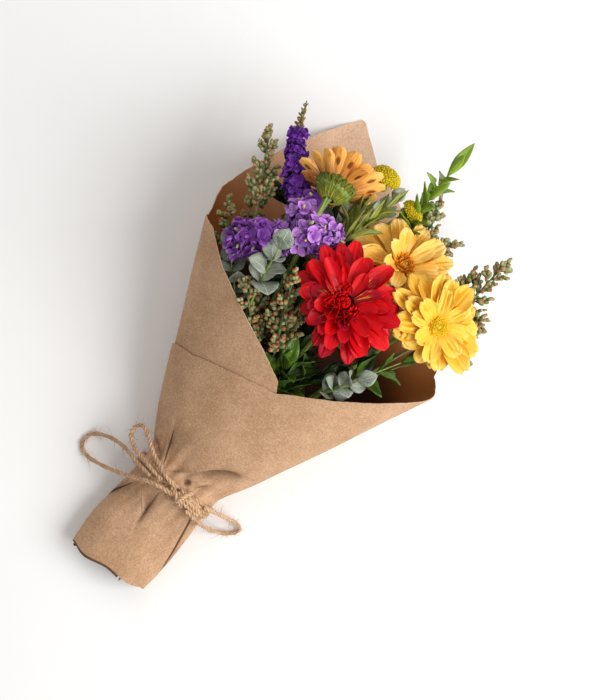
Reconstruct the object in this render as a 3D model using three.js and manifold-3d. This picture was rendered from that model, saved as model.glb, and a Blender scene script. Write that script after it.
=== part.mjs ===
// Mixed flower bouquet in a kraft-paper wrap, tied with jute twine and lying on its back.
// Millimetres, +Z up, +Y from the cut stems to the flowers, +X to the right seen from above.
// Everything is laid out from the tie; the group then moves the middle of its ground to the origin.

import * as THREE from 'three';
import { ParametricGeometry } from 'three/addons/geometries/ParametricGeometry.js';
import { mergeVertices } from 'three/addons/utils/BufferGeometryUtils.js';
import Module from 'manifold-3d';

const wasm = await Module();
wasm.setup();

const V = (x, y, z) => new THREE.Vector3(x, y, z);
const GAP = 0.35; // least room between two separate pieces
const GOLDEN = Math.PI * (3 - Math.sqrt(5)); // turn from one floret or leaf to the next
const UP = V(0, 0, 1);
const MIDDLE = V(-1, 152, 0); // middle of the ground that the bouquet covers, from the tie

// The paper wrap: a cone drawn in at the tie, given by its cross-sections along Y.
const PAPER = 0.8;
const LAYER_STEP = 2.4; // how far the front flap lies outside the flap under it
const PLEATS = 9;
const PLEAT_DEPTH = 1.2;
const PLEAT_REACH = 34; // the pleats fade out this far from the tie
const AXIS_DRIFT = -0.025; // the cone leans slightly to the left
const COLUMN_STEP = 20; // degrees between the wrap's columns at most
const SECTIONS = [
  // y, half width, half height, height of the middle
  [-110, 38, 17, 15],
  [-70, 41, 19, 17],
  [-40, 39, 20, 19],
  [-12, 36.5, 22, 29],
  [0, 36, 22.5, 32],
  [12, 38, 24.5, 30],
  [45, 57.5, 37, 34],
  [210, 132, 88, 80],
  [400, 218, 147, 134],
];
// The sheet's upper edge, as degrees round the cone from the under flap to the front flap, and Y.
const RIM = [
  [70, 104],
  [81.4, 132.6],
  [102, 149.6],
  [118.6, 162.8],
  [137.7, 179.5],
  [154.3, 199.4],
  [174, 209],
  [194.2, 218],
  [207, 249],
  [219.6, 279],
  [233.9, 320],
  [248.4, 366],
  [253.5, 369],
  [257.6, 360],
  [262, 346],
  [280, 318],
  [300, 285],
  [326.3, 240],
  [333, 227],
  [345, 217],
  [379.4, 206.9],
  [387, 188.6],
  [403.1, 165.3],
  [415.1, 149.8],
  [427.8, 135.5],
  [438.9, 122.8],
  [461.4, 113.8],
  [493.9, 101.2],
  [536.9, 95.6],
  [560, 91],
];
const LOWER_ROWS = [-70, -40, -12, 0, 12, 45];
const UPPER_ROWS = [0.34, 0.67, 1]; // shares of the way from the last lower row to the rim
const TAIL_END = -98;
const TAIL_SLANT = 0.14; // the tail is cut at a slight slant

// The twine: three turns round the neck, a knot, and the bow's loops.
const TWINE = 4;
const TURNS = 3;
const BAND = { y: -5, a: 41.4, b: 26.9, x: -0.9, z: 31.9, steps: 24, depth: 4.2 };
const LOOPS = {
  twine_loop_left: [
    V(4, -9, 65.4), V(-6, -9.8, 65.2), V(-19, -13, 62.4), V(-30, -18.6, 53.5), V(-42, -25.4, 42.5),
    V(-55, -31.4, 29.5), V(-68.5, -36.5, 16.5), V(-80, -39.2, 6.6), V(-90, -37.5, 2.5), V(-94.6, -29, 2.4),
    V(-90, -19, 3.8), V(-77, -11.4, 14.4), V(-61.5, -7.6, 30), V(-48, -7.6, 46), V(-35, -8.4, 55.8),
    V(-23, -9, 61.8),
  ],
  twine_loop_top: [
    V(3, -1, 65.5), V(-6, -0.8, 65.8), V(-15, 1.4, 65), V(-24, 4.6, 62), V(-33, 7.8, 58), V(-41.4, 12.4, 53.6),
    V(-50, 17.4, 47.4), V(-58, 19.6, 41.2), V(-63, 14.6, 38), V(-61, 5.6, 40), V(-52.4, 0.4, 46.4),
    V(-42, -1.4, 53), V(-32, -2.6, 58.8), V(-22, -4, 62.6), V(-12.4, -5.2, 64.8),
  ],
  twine_loop_right: [
    V(33, -0.8, 56.2), V(44.6, 1.6, 48.4), V(53, 2.8, 37.6), V(60.5, 3.2, 26), V(67, 3.2, 14.8), V(72.6, 0.6, 5.4),
    V(72.2, -5.4, 2.5), V(65, -12, 5.4), V(56, -15.6, 15.6), V(48, -16.8, 27.6), V(41.4, -16.2, 39.4),
    V(35, -15, 49), V(28.6, -13.6, 55.4), V(21.4, -12.6, 58.6),
  ],
};

// Where a stem may run: the middle region of the wrap, well inside the paper.
const STEM_ROOM = [
  // y, half width, half height, height of the middle
  [-112, 32, 12.6, 16.4],
  [-40, 32, 13.4, 19.6],
  [-12, 31, 16, 29],
  [0, 30.6, 17, 32],
  [12, 31.5, 18.5, 30.5],
  [45, 49, 30, 35],
  [210, 122, 78, 83],
  [420, 228, 150, 146],
];
const TWIG = 0.8;
const BUD = 3;
const STEM_END = -103;
const TIE_HALF = 12; // the stems run side by side this far each way from the tie
const TAIL_SPLAY = 1.2;
const TAIL_MIDDLE = 15.6;
const MID_SHARE = 0.9; // halfway to its head a stem is this share of the way to its own place

// Smooth random numbers that come out the same each time.
let seed = 7;
function random(low = 0, high = 1) {
  seed = (seed * 16807) % 2147483647;
  return low + ((high - low) * seed) / 2147483647;
}

function table(rows, y) {
  const last = rows.length - 1;
  let i = 0;
  while (i < last - 1 && y > rows[i + 1][0]) i += 1;
  const share = THREE.MathUtils.clamp((y - rows[i][0]) / (rows[i + 1][0] - rows[i][0]), 0, 1);
  return rows[i].map((value, k) => THREE.MathUtils.lerp(value, rows[i + 1][k], share));
}

// Closed three.js geometry to an exact solid, and back.
function toSolid(geometry) {
  const bare = geometry.clone();
  bare.deleteAttribute('normal');
  bare.deleteAttribute('uv');
  const merged = mergeVertices(bare, 1e-4);
  const points = merged.attributes.position.array;
  const at = (i) => V(points[3 * i], points[3 * i + 1], points[3 * i + 2]);
  const faces = [];
  let volume = 0;
  for (let i = 0; i < merged.index.count; i += 3) {
    const [a, b, c] = [0, 1, 2].map((k) => merged.index.getX(i + k));
    if (a === b || b === c || c === a) continue;
    faces.push(a, b, c);
    volume += at(a).dot(at(b).cross(at(c)));
  }
  if (volume < 0) faces.reverse();
  return new wasm.Manifold(
    new wasm.Mesh({ numProp: 3, vertProperties: new Float32Array(points), triVerts: new Uint32Array(faces) }),
  );
}

function toGeometry(solid) {
  const mesh = solid.getMesh();
  const geometry = new THREE.BufferGeometry();
  geometry.setAttribute('position', new THREE.BufferAttribute(new Float32Array(mesh.vertProperties), 3));
  geometry.setIndex(new THREE.BufferAttribute(new Uint32Array(mesh.triVerts), 1));
  geometry.computeVertexNormals();
  return geometry;
}

// A closed skin over rings of equally many points; the first and last ring close to a point.
function loft(rings) {
  const slices = rings[0].length;
  const stacks = rings.length - 1;
  return new ParametricGeometry(
    (u, v, target) => target.copy(rings[Math.round(v * stacks)][Math.round(u * slices) % slices]),
    slices,
    stacks,
  );
}

// A frame whose Y runs along a piece and whose Z is the way its face looks.
function frame(origin, along, face) {
  const y = along.clone().normalize();
  const x = y.clone().cross(face).normalize();
  const z = x.clone().cross(y);
  return new THREE.Matrix4().makeBasis(x, y, z).setPosition(origin);
}

// A petal or leaf: a thin closed blade that starts at the origin along Y and curls towards +Z.
function blade({ length, half, outline, thick = 1.1, lift = 0, curl = 0, cup = 0, flat = false }) {
  const bend = Math.abs(curl) < 1e-3 ? 1e-3 : curl;
  const rings = outline.map(([t, width]) => {
    const angle = lift + bend * t;
    const middle = V(
      0,
      (length / bend) * (Math.sin(angle) - Math.sin(lift)),
      (length / bend) * (Math.cos(lift) - Math.cos(angle)),
    );
    if (width === 0) return flat ? [middle, middle, middle] : [middle, middle, middle, middle];
    const normal = V(0, -Math.sin(angle), Math.cos(angle));
    const side = V(half * width, 0, 0).addScaledVector(normal, cup * half * width);
    const other = V(-half * width, 0, 0).addScaledVector(normal, cup * half * width);
    const below = middle.clone().addScaledVector(normal, -thick / 2);
    if (flat) return [middle.clone().add(side), middle.clone().add(other), below];
    const above = middle.clone().addScaledVector(normal, thick / 2);
    return [middle.clone().add(side), above, middle.clone().add(other), below];
  });
  return loft(rings);
}

const SPOON = [[0, 0], [0.5, 0.86], [0.86, 0.88], [1, 0]];
const BROAD = [[0, 0], [0.45, 0.95], [0.86, 0.9], [1, 0]];
const CURLED = [[0, 0], [0.3, 0.8], [1, 0]];
const LANCE = [[0, 0], [0.3, 0.85], [0.65, 0.75], [1, 0]];
const ROUND = [[0, 0], [0.28, 0.82], [0.66, 0.95], [1, 0]];
const BRACT = [[0, 0], [0.25, 0.9], [1, 0]];

// A floret: a shallow star cup of five petals on a short throat.
function floret(radius, depth, cup = 0.35, dimple = 0.1) {
  const ring = Array.from({ length: 10 }, (_, i) => {
    const reach = radius * (i % 2 ? 0.5 : 1);
    const angle = (i * Math.PI) / 5;
    return V(reach * Math.cos(angle), reach * Math.sin(angle), i % 2 ? 0 : radius * cup);
  });
  return loft([ring.map(() => V(0, 0, -depth)), ring, ring.map(() => V(0, 0, radius * dimple))]);
}

// A curve whose steps fall on its own points.
class Route extends THREE.CatmullRomCurve3 {
  getSpacedPoints(count) {
    return this.getPoints(count);
  }

  getTangentAt(share) {
    return this.getTangent(share);
  }
}

function tube(points, radius, sides) {
  const circle = new THREE.Shape(
    Array.from({ length: sides }, (_, i) => {
      const angle = (i * 2 * Math.PI) / sides;
      return new THREE.Vector2(radius * Math.cos(angle), radius * Math.sin(angle));
    }),
  );
  return new THREE.ExtrudeGeometry(circle, {
    steps: points.length - 1,
    extrudePath: new Route(points),
    bevelEnabled: false,
  });
}

// Every piece that is laid so far, each with the node that it belongs to.
const laid = [];
const nodes = new Map();

function lay(node, geometry, matrix) {
  const solid = toSolid(matrix ? geometry.clone().applyMatrix4(matrix) : geometry);
  keep(node, solid);
  return solid;
}

function keep(node, solid) {
  const box = solid.boundingBox();
  laid.push({ node, solid, box });
  if (!nodes.has(node)) nodes.set(node, []);
  nodes.get(node).push(solid);
}

function near(a, b) {
  return [0, 1, 2].every((k) => a.min[k] - GAP < b.max[k] && b.min[k] - GAP < a.max[k]);
}

function hasRoom(node, solid) {
  const box = solid.boundingBox();
  if (box.min[2] < GAP) return false;
  return laid.every((other) => other.node === node || !near(box, other.box) || solid.minGap(other.solid, GAP) >= GAP);
}

// Lays the first of several ways to hold a piece that keeps clear of the other nodes.
function layClear(node, ways) {
  for (const [geometry, matrix] of ways) {
    const solid = toSolid(geometry.clone().applyMatrix4(matrix));
    if (hasRoom(node, solid)) {
      keep(node, solid);
      return true;
    }
  }
  return false;
}

// The paper.
function paperPoint(degrees, y, offset) {
  const [, a, b, middle] = table(SECTIONS, y);
  const angle = THREE.MathUtils.degToRad(degrees);
  const layer = LAYER_STEP * THREE.MathUtils.smoothstep(degrees, 345, 425);
  const pleat = PLEAT_DEPTH * Math.exp(-((y / PLEAT_REACH) ** 2)) * Math.cos(PLEATS * angle);
  const out = offset + layer + pleat;
  const floor = PAPER / 2 - offset;
  return V(
    AXIS_DRIFT * Math.max(y, 0) + (a + out) * Math.cos(angle),
    y,
    Math.max(middle + (b + out) * Math.sin(angle), floor),
  );
}

function wrapColumns() {
  const columns = [];
  RIM.forEach(([degrees, y], i) => {
    if (i === 0) return;
    const [before, yBefore] = RIM[i - 1];
    const parts = Math.ceil((degrees - before) / COLUMN_STEP);
    for (let k = 0; k < parts; k += 1) {
      const share = k / parts;
      columns.push([THREE.MathUtils.lerp(before, degrees, share), THREE.MathUtils.lerp(yBefore, y, share)]);
    }
  });
  columns.push(RIM[RIM.length - 1]);
  return columns;
}

function paperWrap() {
  const columns = wrapColumns();
  const side = (offset) => columns.map(([degrees, rim]) => {
    const tail = TAIL_END + TAIL_SLANT * paperPoint(degrees, TAIL_END, 0).x;
    const base = LOWER_ROWS[LOWER_ROWS.length - 1];
    const rows = [tail, ...LOWER_ROWS, ...UPPER_ROWS.map((share) => base + share * (rim - base))];
    return rows.map((y) => paperPoint(degrees, y, offset));
  });
  const outer = side(PAPER / 2);
  const inner = side(-PAPER / 2);
  const rows = outer[0].length;
  const points = [...outer.flat(), ...inner.flat()];
  const within = columns.length * rows;
  const index = [];
  const quad = (a, b, c, d) => index.push(a, b, c, a, c, d);
  for (let i = 0; i < columns.length - 1; i += 1) {
    for (let k = 0; k < rows - 1; k += 1) {
      const a = i * rows + k;
      const b = a + rows;
      quad(a, b, b + 1, a + 1);
      index.push(a + within, b + 1 + within, b + within, a + within, a + 1 + within, b + 1 + within);
    }
    const low = i * rows;
    const high = low + rows - 1;
    quad(low, low + within, low + rows + within, low + rows);
    quad(high, high + rows, high + rows + within, high + within);
  }
  for (let k = 0; k < rows - 1; k += 1) {
    const end = (columns.length - 1) * rows + k;
    quad(k, k + 1, k + 1 + within, k + within);
    quad(end, end + within, end + 1 + within, end + 1);
  }
  const geometry = new THREE.BufferGeometry();
  geometry.setAttribute('position', new THREE.Float32BufferAttribute(points.flatMap((p) => p.toArray()), 3));
  geometry.setIndex(index);
  lay('wrap', geometry);
}

// The twine band: its section shows the turns side by side.
function twineBand() {
  const width = TWINE * TURNS;
  const section = [[-width / 2, 0]];
  for (let turn = 0; turn < TURNS; turn += 1) {
    const start = -width / 2 + turn * TWINE;
    if (turn) section.push([start, BAND.depth * 0.62]);
    section.push([start + 0.5 * TWINE, BAND.depth]);
  }
  section.push([width / 2, 0]);
  const rings = Array.from({ length: BAND.steps + 1 }, (_, i) => {
    const angle = ((i % BAND.steps) * 2 * Math.PI) / BAND.steps;
    return section.map(([along, out]) => V(
      BAND.x + (BAND.a + out) * Math.cos(angle),
      BAND.y + along,
      BAND.z + (BAND.b + out) * Math.sin(angle),
    ));
  });
  lay('twine_band', loft(rings));
  const strands = [
    [V(9.5, -1.6, 63.4), V(16, -2, 62.8), V(22, -3, 60.4), V(27, -3.4, 57.8)],
    [V(8.6, -7, 63.4), V(16, -7.4, 62.4), V(24, -8, 58.8), V(30, -8.6, 55.2)],
    [V(11, -10.4, 61), V(12, -7.4, 65.4), V(13.4, -2.4, 66.4), V(16, 1.4, 62), V(17, 3, 58)],
  ];
  strands.forEach((points) => lay('twine_band', tube(points, TWINE * 0.62, 5)));
}

// Stems: each keeps its place among the others from the cut end to the tie and out to its head.
function room(point) {
  const [, a, b, middle] = table(STEM_ROOM, point.y);
  return [(point.x - AXIS_DRIFT * Math.max(point.y, 0)) / a, (point.z - middle) / b];
}

function stemPoint(u, v, y) {
  const [, a, b, middle] = table(STEM_ROOM, y);
  return V(AXIS_DRIFT * Math.max(y, 0) + u * a, y, middle + v * b);
}

// Draws the stems together in the tie, side by side and in the order of their heads.
function gather(stems, goals) {
  const places = goals.map(([u, v]) => new THREE.Vector2(24 * u, 15 * v));
  const apart = () => places.forEach((p, i) => places.forEach((q, k) => {
    if (k <= i) return;
    const way = q.clone().sub(p);
    const short = stems[i].radius + stems[k].radius + GAP - way.length();
    if (short <= 0) return;
    way.setLength(short / 2 + 1e-3);
    p.sub(way);
    q.add(way);
  }));
  for (let round = 0; round < 400; round += 1) {
    places.forEach((p) => p.set(p.x * 0.994, p.y * 0.99));
    apart();
  }
  for (let round = 0; round < 400; round += 1) apart();
  return places;
}

// The bundle lies on the paper under the tie.
function bundleHeight(stems, places) {
  const [, a, b, middle] = table(SECTIONS, 0);
  const inset = PAPER / 2 + PLEAT_DEPTH;
  const room = places.map((p, i) => {
    const paper = middle - (b - inset) * Math.sqrt(1 - (p.x / (a - inset)) ** 2);
    return p.y - stems[i].radius - paper;
  });
  return GAP - Math.min(...room);
}

// The plan: each stem's node, radius and sides, where it leaves the bundle, and the points after that.
const BLOOMS = {
  red_chrysanthemum: {
    stem: 2.5, base: V(12, 222, 147), facing: V(-0.02, 0.26, 0.96), core: [13, 9], calyx: 12, lean: 34,
    colour: 0xb80d10, outline: SPOON,
    rows: [
      { count: 15, root: 10, rise: 2, length: 39, half: 7, lift: 0.06, curl: -0.12, cup: 0.25 },
      { count: 12, root: 9, rise: 5, length: 33, half: 6.2, lift: 0.38, curl: -0.2, cup: 0.3 },
      { count: 8, root: 7, rise: 7.5, length: 24, half: 5.2, lift: 0.78, curl: -0.1, cup: 0.4 },
    ],
    tuft: { count: 8, root: 4.5, rise: 7, length: 11, half: 2.4, lift: 1.15, curl: 0.7, outline: CURLED },
  },
  yellow_daisy_front: {
    stem: 2.5, base: V(86, 260, 126), facing: V(0.28, 0.12, 0.95), core: [11, 6], calyx: 10, lean: 32,
    colour: 0xe8b417, outline: BROAD,
    rows: [
      { count: 12, root: 8, rise: 1.6, length: 34, half: 7.6, lift: 0.02, curl: -0.22, cup: 0.2 },
      { count: 8, root: 7.5, rise: 4, length: 28, half: 6.8, lift: 0.32, curl: -0.3, cup: 0.25 },
    ],
    tuft: { count: 7, root: 5, rise: 4.5, length: 8, half: 2, lift: 0.95, curl: 0.5, outline: CURLED },
  },
  yellow_daisy_back: {
    stem: 2.5, base: V(24, 288, 104), facing: V(0.12, 0.5, 0.86), core: [11, 6], calyx: 10, lean: 32,
    colour: 0xdf9f1c, outline: BROAD,
    rows: [
      { count: 12, root: 8, rise: 1.6, length: 33, half: 7.4, lift: 0.02, curl: -0.2, cup: 0.2 },
      { count: 8, root: 7.5, rise: 4, length: 26, half: 6.6, lift: 0.42, curl: -0.3, cup: 0.25 },
    ],
    tuft: { count: 7, root: 5, rise: 4.5, length: 8, half: 2, lift: 0.95, curl: 0.5, outline: CURLED },
  },
  bronze_chrysanthemum: {
    stem: 2.6, base: V(-56, 284, 130), facing: V(-0.1, 0.88, -0.42), core: [17, 8], calyx: 18, lean: 13,
    colour: 0xd98436, outline: BROAD, bracts: 10,
    rows: [
      { count: 12, root: 14, rise: 2, length: 30, half: 6.6, lift: 0.5, curl: -0.1, cup: 0.3 },
      { count: 8, root: 12, rise: 5, length: 26, half: 5.8, lift: 0.85, curl: 0.1, cup: 0.3 },
    ],
  },
};
const BUTTONS = {
  button_flower_left: { stem: 2, base: V(-31, 326, 116), facing: V(0.32, 0.82, 0.46), radius: 13, lean: 18 },
  button_flower_right: { stem: 2, base: V(4, 322, 78), facing: V(0.42, 0.82, 0.3), radius: 12, lean: 18 },
};
const LILACS = {
  lilac_head_left: { stem: 2.2, base: V(-80, 217, 117), facing: V(-0.3, 0.25, 0.9), core: 10.5, reach: 17.5, florets: 13, size: 12 },
  lilac_head_right: { stem: 2.2, base: V(-34, 250, 122), facing: V(-0.05, 0.3, 0.94), core: 10, reach: 17, florets: 13, size: 11.6 },
};
const LARKSPUR = {
  larkspur: { stem: 2.3, base: V(-82, 258, 104), tip: V(-129, 339, 90), core: 5.4, florets: 20, size: 11 },
};
const SPRAYS = {
  bud_spray_tall: { base: V(-101, 236, 104), tip: V(-139, 300, 95), twigs: 8, reach: 19, buds: 3 },
  bud_spray_front: { base: V(-8, 150, 112), tip: V(-36, 212, 157), twigs: 8, reach: 23, buds: 3 },
  bud_spray_rim: { base: V(-22, 140, 104), tip: V(-62, 178, 139), twigs: 7, reach: 20, buds: 3 },
  bud_spray_right: { base: V(96, 268, 88), tip: V(100, 350, 88), twigs: 8, reach: 22, buds: 3 },
  bud_spray_upper: { base: V(34, 304, 72), tip: V(13, 366, 70), twigs: 6, reach: 17, buds: 3 },
  bud_spray_left: { base: V(-96, 186, 82), tip: V(-122, 222, 84), twigs: 5, reach: 17, buds: 3 },
};
const SPRIGS = {
  eucalyptus_front: { base: V(-56, 188, 134), tip: V(-62, 222, 160), pairs: 3, leaf: [24, 9.5], outline: ROUND, colour: 'silver' },
  eucalyptus_rim: { base: V(48, 150, 104), tip: V(72, 192, 128), pairs: 4, leaf: [20, 7.4], outline: ROUND, colour: 'silver' },
  eucalyptus_left: { base: V(-60, 160, 104), tip: V(-98, 196, 116), pairs: 4, leaf: [23, 8], outline: ROUND, colour: 'silver' },
  eucalyptus_top: { base: V(-16, 296, 84), tip: V(-14, 336, 96), pairs: 3, leaf: [18, 7], outline: ROUND, colour: 'silver' },
  eucalyptus_right: { base: V(104, 206, 96), tip: V(138, 252, 106), pairs: 4, leaf: [19, 6.6], outline: ROUND, colour: 'silver' },
  eucalyptus_low: { base: V(-30, 250, 44), tip: V(-46, 318, 38), pairs: 5, leaf: [22, 8.4], outline: ROUND, colour: 'silver' },
  leafy_sprig: { base: V(38, 308, 78), tip: V(8, 392, 84), pairs: 6, leaf: [28, 5], outline: LANCE, colour: 'leaf', end: true },
  narrow_foliage: { base: V(-24, 262, 122), tip: V(-12, 316, 130), pairs: 5, leaf: [27, 3.2], outline: LANCE, colour: 'lime', end: true },
  dark_foliage_front: { base: V(16, 118, 88), tip: V(10, 146, 112), pairs: 4, leaf: [44, 7.5], outline: LANCE, colour: 'dark', end: true },
  dark_foliage_right: { base: V(62, 176, 98), tip: V(92, 214, 118), pairs: 3, leaf: [44, 8], outline: LANCE, colour: 'dark', end: true },
  dark_foliage_middle: { base: V(-14, 196, 90), tip: V(-14, 234, 112), pairs: 3, leaf: [46, 9], outline: LANCE, colour: 'dark', end: true },
  dark_foliage_low: { base: V(10, 240, 40), tip: V(8, 292, 34), pairs: 4, leaf: [40, 8], outline: LANCE, colour: 'dark', end: true },
};

// Works out every stem's line first, because each is laid before any leaf or petal.
function stemList() {
  const list = [];
  Object.entries(BLOOMS).forEach(([name, { stem, base, facing, lean }]) => {
    const way = facing.clone().normalize();
    const foot = base.clone().addScaledVector(way, -CALYX_DEPTH);
    const turn = foot.clone().addScaledVector(way, -lean);
    list.push({ node: `${name}_stem`, radius: stem, sides: 6, turn, rest: [foot.addScaledVector(way, 1)] });
  });
  Object.entries(BUTTONS).forEach(([name, { stem, base, facing, lean }]) => {
    const way = facing.clone().normalize();
    const foot = base.clone().addScaledVector(way, -BUTTON_CALYX);
    const turn = foot.clone().addScaledVector(way, -lean);
    list.push({ node: `${name}_stem`, radius: stem, sides: 5, turn, rest: [foot.addScaledVector(way, 1)] });
  });
  Object.entries(LILACS).forEach(([name, { stem, base, facing }]) => {
    const way = facing.clone().normalize();
    const turn = base.clone().addScaledVector(way, -26);
    list.push({ node: `${name}_stem`, radius: stem, sides: 5, turn, rest: [base.clone()] });
  });
  Object.entries(LARKSPUR).forEach(([name, { stem, base, tip }]) => {
    const way = tip.clone().sub(base).normalize();
    const turn = base.clone().addScaledVector(way, -24);
    list.push({ node: `${name}_stem`, radius: stem, sides: 5, turn, rest: [base.clone()] });
  });
  Object.entries(SPRAYS).forEach(([node, { base, tip }]) => {
    const middle = base.clone().lerp(tip, 0.5).add(V(0, 0, 1.5));
    list.push({ node, radius: 1.7, sides: 5, turn: base, rest: [middle, tip] });
  });
  Object.entries(SPRIGS).forEach(([node, { base, tip }]) => {
    const middle = base.clone().lerp(tip, 0.5).add(V(0, 0, 2));
    list.push({ node, radius: 1.6, sides: 5, turn: base, rest: [middle, tip] });
  });
  return list;
}

const CALYX_DEPTH = 11;
const BUTTON_CALYX = 8;
const routes = new Map();

function layStems() {
  const stems = stemList();
  const goals = stems.map(({ turn }) => room(turn));
  const places = gather(stems, goals);
  const height = bundleHeight(stems, places);
  stems.forEach(({ node, radius, sides, turn, rest }, i) => {
    const place = places[i];
    const [goalU, goalV] = goals[i];
    const y = THREE.MathUtils.lerp(TIE_HALF, turn.y, 0.5);
    const points = [
      V(place.x * TAIL_SPLAY, STEM_END + random(-4, 3), TAIL_MIDDLE + place.y * TAIL_SPLAY),
      V(place.x, -TIE_HALF, height + place.y),
      V(place.x, TIE_HALF, height + place.y),
      stemPoint(goalU * MID_SHARE, goalV * MID_SHARE, y),
      turn,
      ...rest,
    ];
    routes.set(node, points);
    lay(node, tube(points, radius, sides));
  });
}

// Petals in rows round a small core, with a tuft of curled florets in the middle.
function petalRow(node, place, row, outline) {
  for (let i = 0; i < row.count; i += 1) {
    const angle = (i / row.count) * 2 * Math.PI + random(-0.06, 0.06) + (row.rise ?? 0);
    const out = V(Math.cos(angle), Math.sin(angle), 0);
    const root = out.clone().multiplyScalar(row.root).setZ(row.rise);
    const length = row.length * random(0.93, 1.05);
    const lift = row.lift + random(-0.04, 0.04) + (i % 2 ? 0.1 : 0);
    const matrix = place.clone().multiply(frame(root, out, UP));
    const ways = [0, 0.14, -0.14, 0.28, -0.28, 0.42, -0.42, 0.6].flatMap((more) => [1, 0.86, 0.7].map((share) => [
      blade({ ...row, outline: row.outline ?? outline, length: length * share, lift: lift + more }),
      matrix,
    ]));
    layClear(node, ways);
  }
}

function dome(radius, height, sides = 10) {
  return new THREE.LatheGeometry(
    [
      new THREE.Vector2(0, 0),
      new THREE.Vector2(radius, 0.3),
      new THREE.Vector2(radius * 0.8, height * 0.7),
      new THREE.Vector2(0, height),
    ],
    sides,
  ).rotateX(Math.PI / 2);
}

function cup(radius, depth, neck, sides = 8) {
  return new THREE.LatheGeometry(
    [
      new THREE.Vector2(0, -depth),
      new THREE.Vector2(neck, -depth),
      new THREE.Vector2(radius * 0.85, -depth * 0.55),
      new THREE.Vector2(radius, -GAP),
      new THREE.Vector2(0, -GAP),
    ],
    sides,
  ).rotateX(Math.PI / 2);
}

// LatheGeometry turns about Y; laid on Z its profile's second value becomes the height.
function layBloomBases() {
  Object.entries(BLOOMS).forEach(([name, { base, facing, calyx, stem, bracts = 0 }]) => {
    const node = `${name}_stem`;
    const place = frame(base, sideOf(facing), facing);
    lay(node, cup(calyx, CALYX_DEPTH, stem), place);
    for (let i = 0; i < bracts; i += 1) {
      const angle = (i / bracts) * 2 * Math.PI;
      const out = V(Math.cos(angle), Math.sin(angle), 0);
      const root = out.clone().multiplyScalar(calyx * 0.6).setZ(-CALYX_DEPTH * 0.68);
      const shape = blade({ length: calyx * 0.62, half: calyx * 0.24, outline: BRACT, lift: 0.5, curl: -0.1 });
      layClear(node, [[shape, place.clone().multiply(frame(root, out, UP))]]);
    }
  });
  Object.entries(BUTTONS).forEach(([name, { base, facing, radius, stem }]) => {
    const place = frame(base, sideOf(facing), facing);
    lay(`${name}_stem`, cup(radius * 0.78, BUTTON_CALYX, stem), place);
  });
}

function sideOf(facing) {
  return V(1, 0, 0).cross(facing).normalize();
}

function layBlooms() {
  Object.entries(BLOOMS).forEach(([name, { base, facing, core, rows, tuft, outline }]) => {
    const node = `${name}_petals`;
    const place = frame(base, sideOf(facing), facing);
    lay(node, dome(core[0], core[1]), place);
    rows.forEach((row) => petalRow(node, place, row, outline));
    if (tuft) petalRow(node, place, tuft, outline);
  });
}

// Button flowers: a domed head whose tight florets stand out as relief.
function layButtons() {
  Object.entries(BUTTONS).forEach(([name, { base, facing, radius }]) => {
    const shape = new THREE.IcosahedronGeometry(1, 2);
    const position = shape.attributes.position;
    for (let i = 0; i < position.count; i += 1) {
      const p = V(position.getX(i), position.getY(i), position.getZ(i));
      const bump = 1 + 0.07 * Math.sin(9 * p.x + 2) * Math.sin(9 * p.y) + 0.05 * Math.sin(11 * p.z);
      p.multiplyScalar(radius * bump);
      p.z = Math.max(p.z * 0.72 + radius * 0.42, 0);
      position.setXYZ(i, p.x, p.y, p.z);
    }
    lay(`${name}_head`, shape, frame(base, sideOf(facing), facing));
  });
}

// Lilac heads: star florets all over a small rounded core.
function layLilacs() {
  Object.entries(LILACS).forEach(([name, { base, facing, core, reach, florets, size }]) => {
    const node = `${name}_florets`;
    const way = facing.clone().normalize();
    const centre = base.clone().addScaledVector(way, core + GAP);
    lay(node, new THREE.IcosahedronGeometry(core, 1), new THREE.Matrix4().setPosition(centre));
    const place = frame(centre, sideOf(facing), facing);
    for (let i = 0; i < florets; i += 1) {
      const height = 1 - (1.55 * (i + 0.5)) / florets;
      const flat = Math.sqrt(1 - height * height);
      const out = V(flat * Math.cos(i * GOLDEN), flat * Math.sin(i * GOLDEN), height);
      const radius = size * random(0.88, 1.08);
      const ways = [0, 1.6, 3.2].flatMap((lower) => [1, 0.85, 0.7].map((share) => {
        const spot = out.clone().multiplyScalar(reach - lower);
        const turned = frame(spot, sideOf(out), out);
        return [floret(radius * share, reach - core * 0.7), place.clone().multiply(turned)];
      }));
      layClear(node, ways);
    }
  });
}

// The larkspur's spike: florets that shrink to buds towards the tip.
function layLarkspur() {
  Object.entries(LARKSPUR).forEach(([name, { base, tip, core, florets, size }]) => {
    const node = `${name}_florets`;
    const way = tip.clone().sub(base).normalize();
    const start = base.clone().addScaledVector(way, GAP + 0.3);
    const length = tip.distanceTo(start);
    const place = frame(start, sideOf(way), way);
    const spindle = new THREE.LatheGeometry(
      [[0, 0], [core * 0.8, 0], [core, length * 0.25], [core * 0.5, length * 0.7], [0, length]].map(
        ([r, h]) => new THREE.Vector2(r, h),
      ),
      6,
    ).rotateX(Math.PI / 2);
    lay(node, spindle, place);
    for (let i = 0; i < florets; i += 1) {
      const share = ((i + 0.5) / florets) ** 0.86;
      const small = 1 - 0.78 * share ** 1.6;
      const radius = size * small * random(0.9, 1.1);
      const angle = i * GOLDEN;
      const lean = THREE.MathUtils.lerp(0.15, 0.9, share);
      const out = V(Math.cos(angle), Math.sin(angle), lean).normalize();
      const body = core * THREE.MathUtils.lerp(1, 0.16, share);
      const ways = [1, 0.8, 0.6].map((fit) => {
        const spot = V(0, 0, share * length * 0.97).addScaledVector(out, body + radius * 0.55 * fit);
        return [
          floret(radius * fit, body * 0.75 + radius * 0.5 * fit, 0.5),
          place.clone().multiply(frame(spot, sideOf(out), out)),
        ];
      });
      layClear(node, ways);
    }
  });
}

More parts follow.
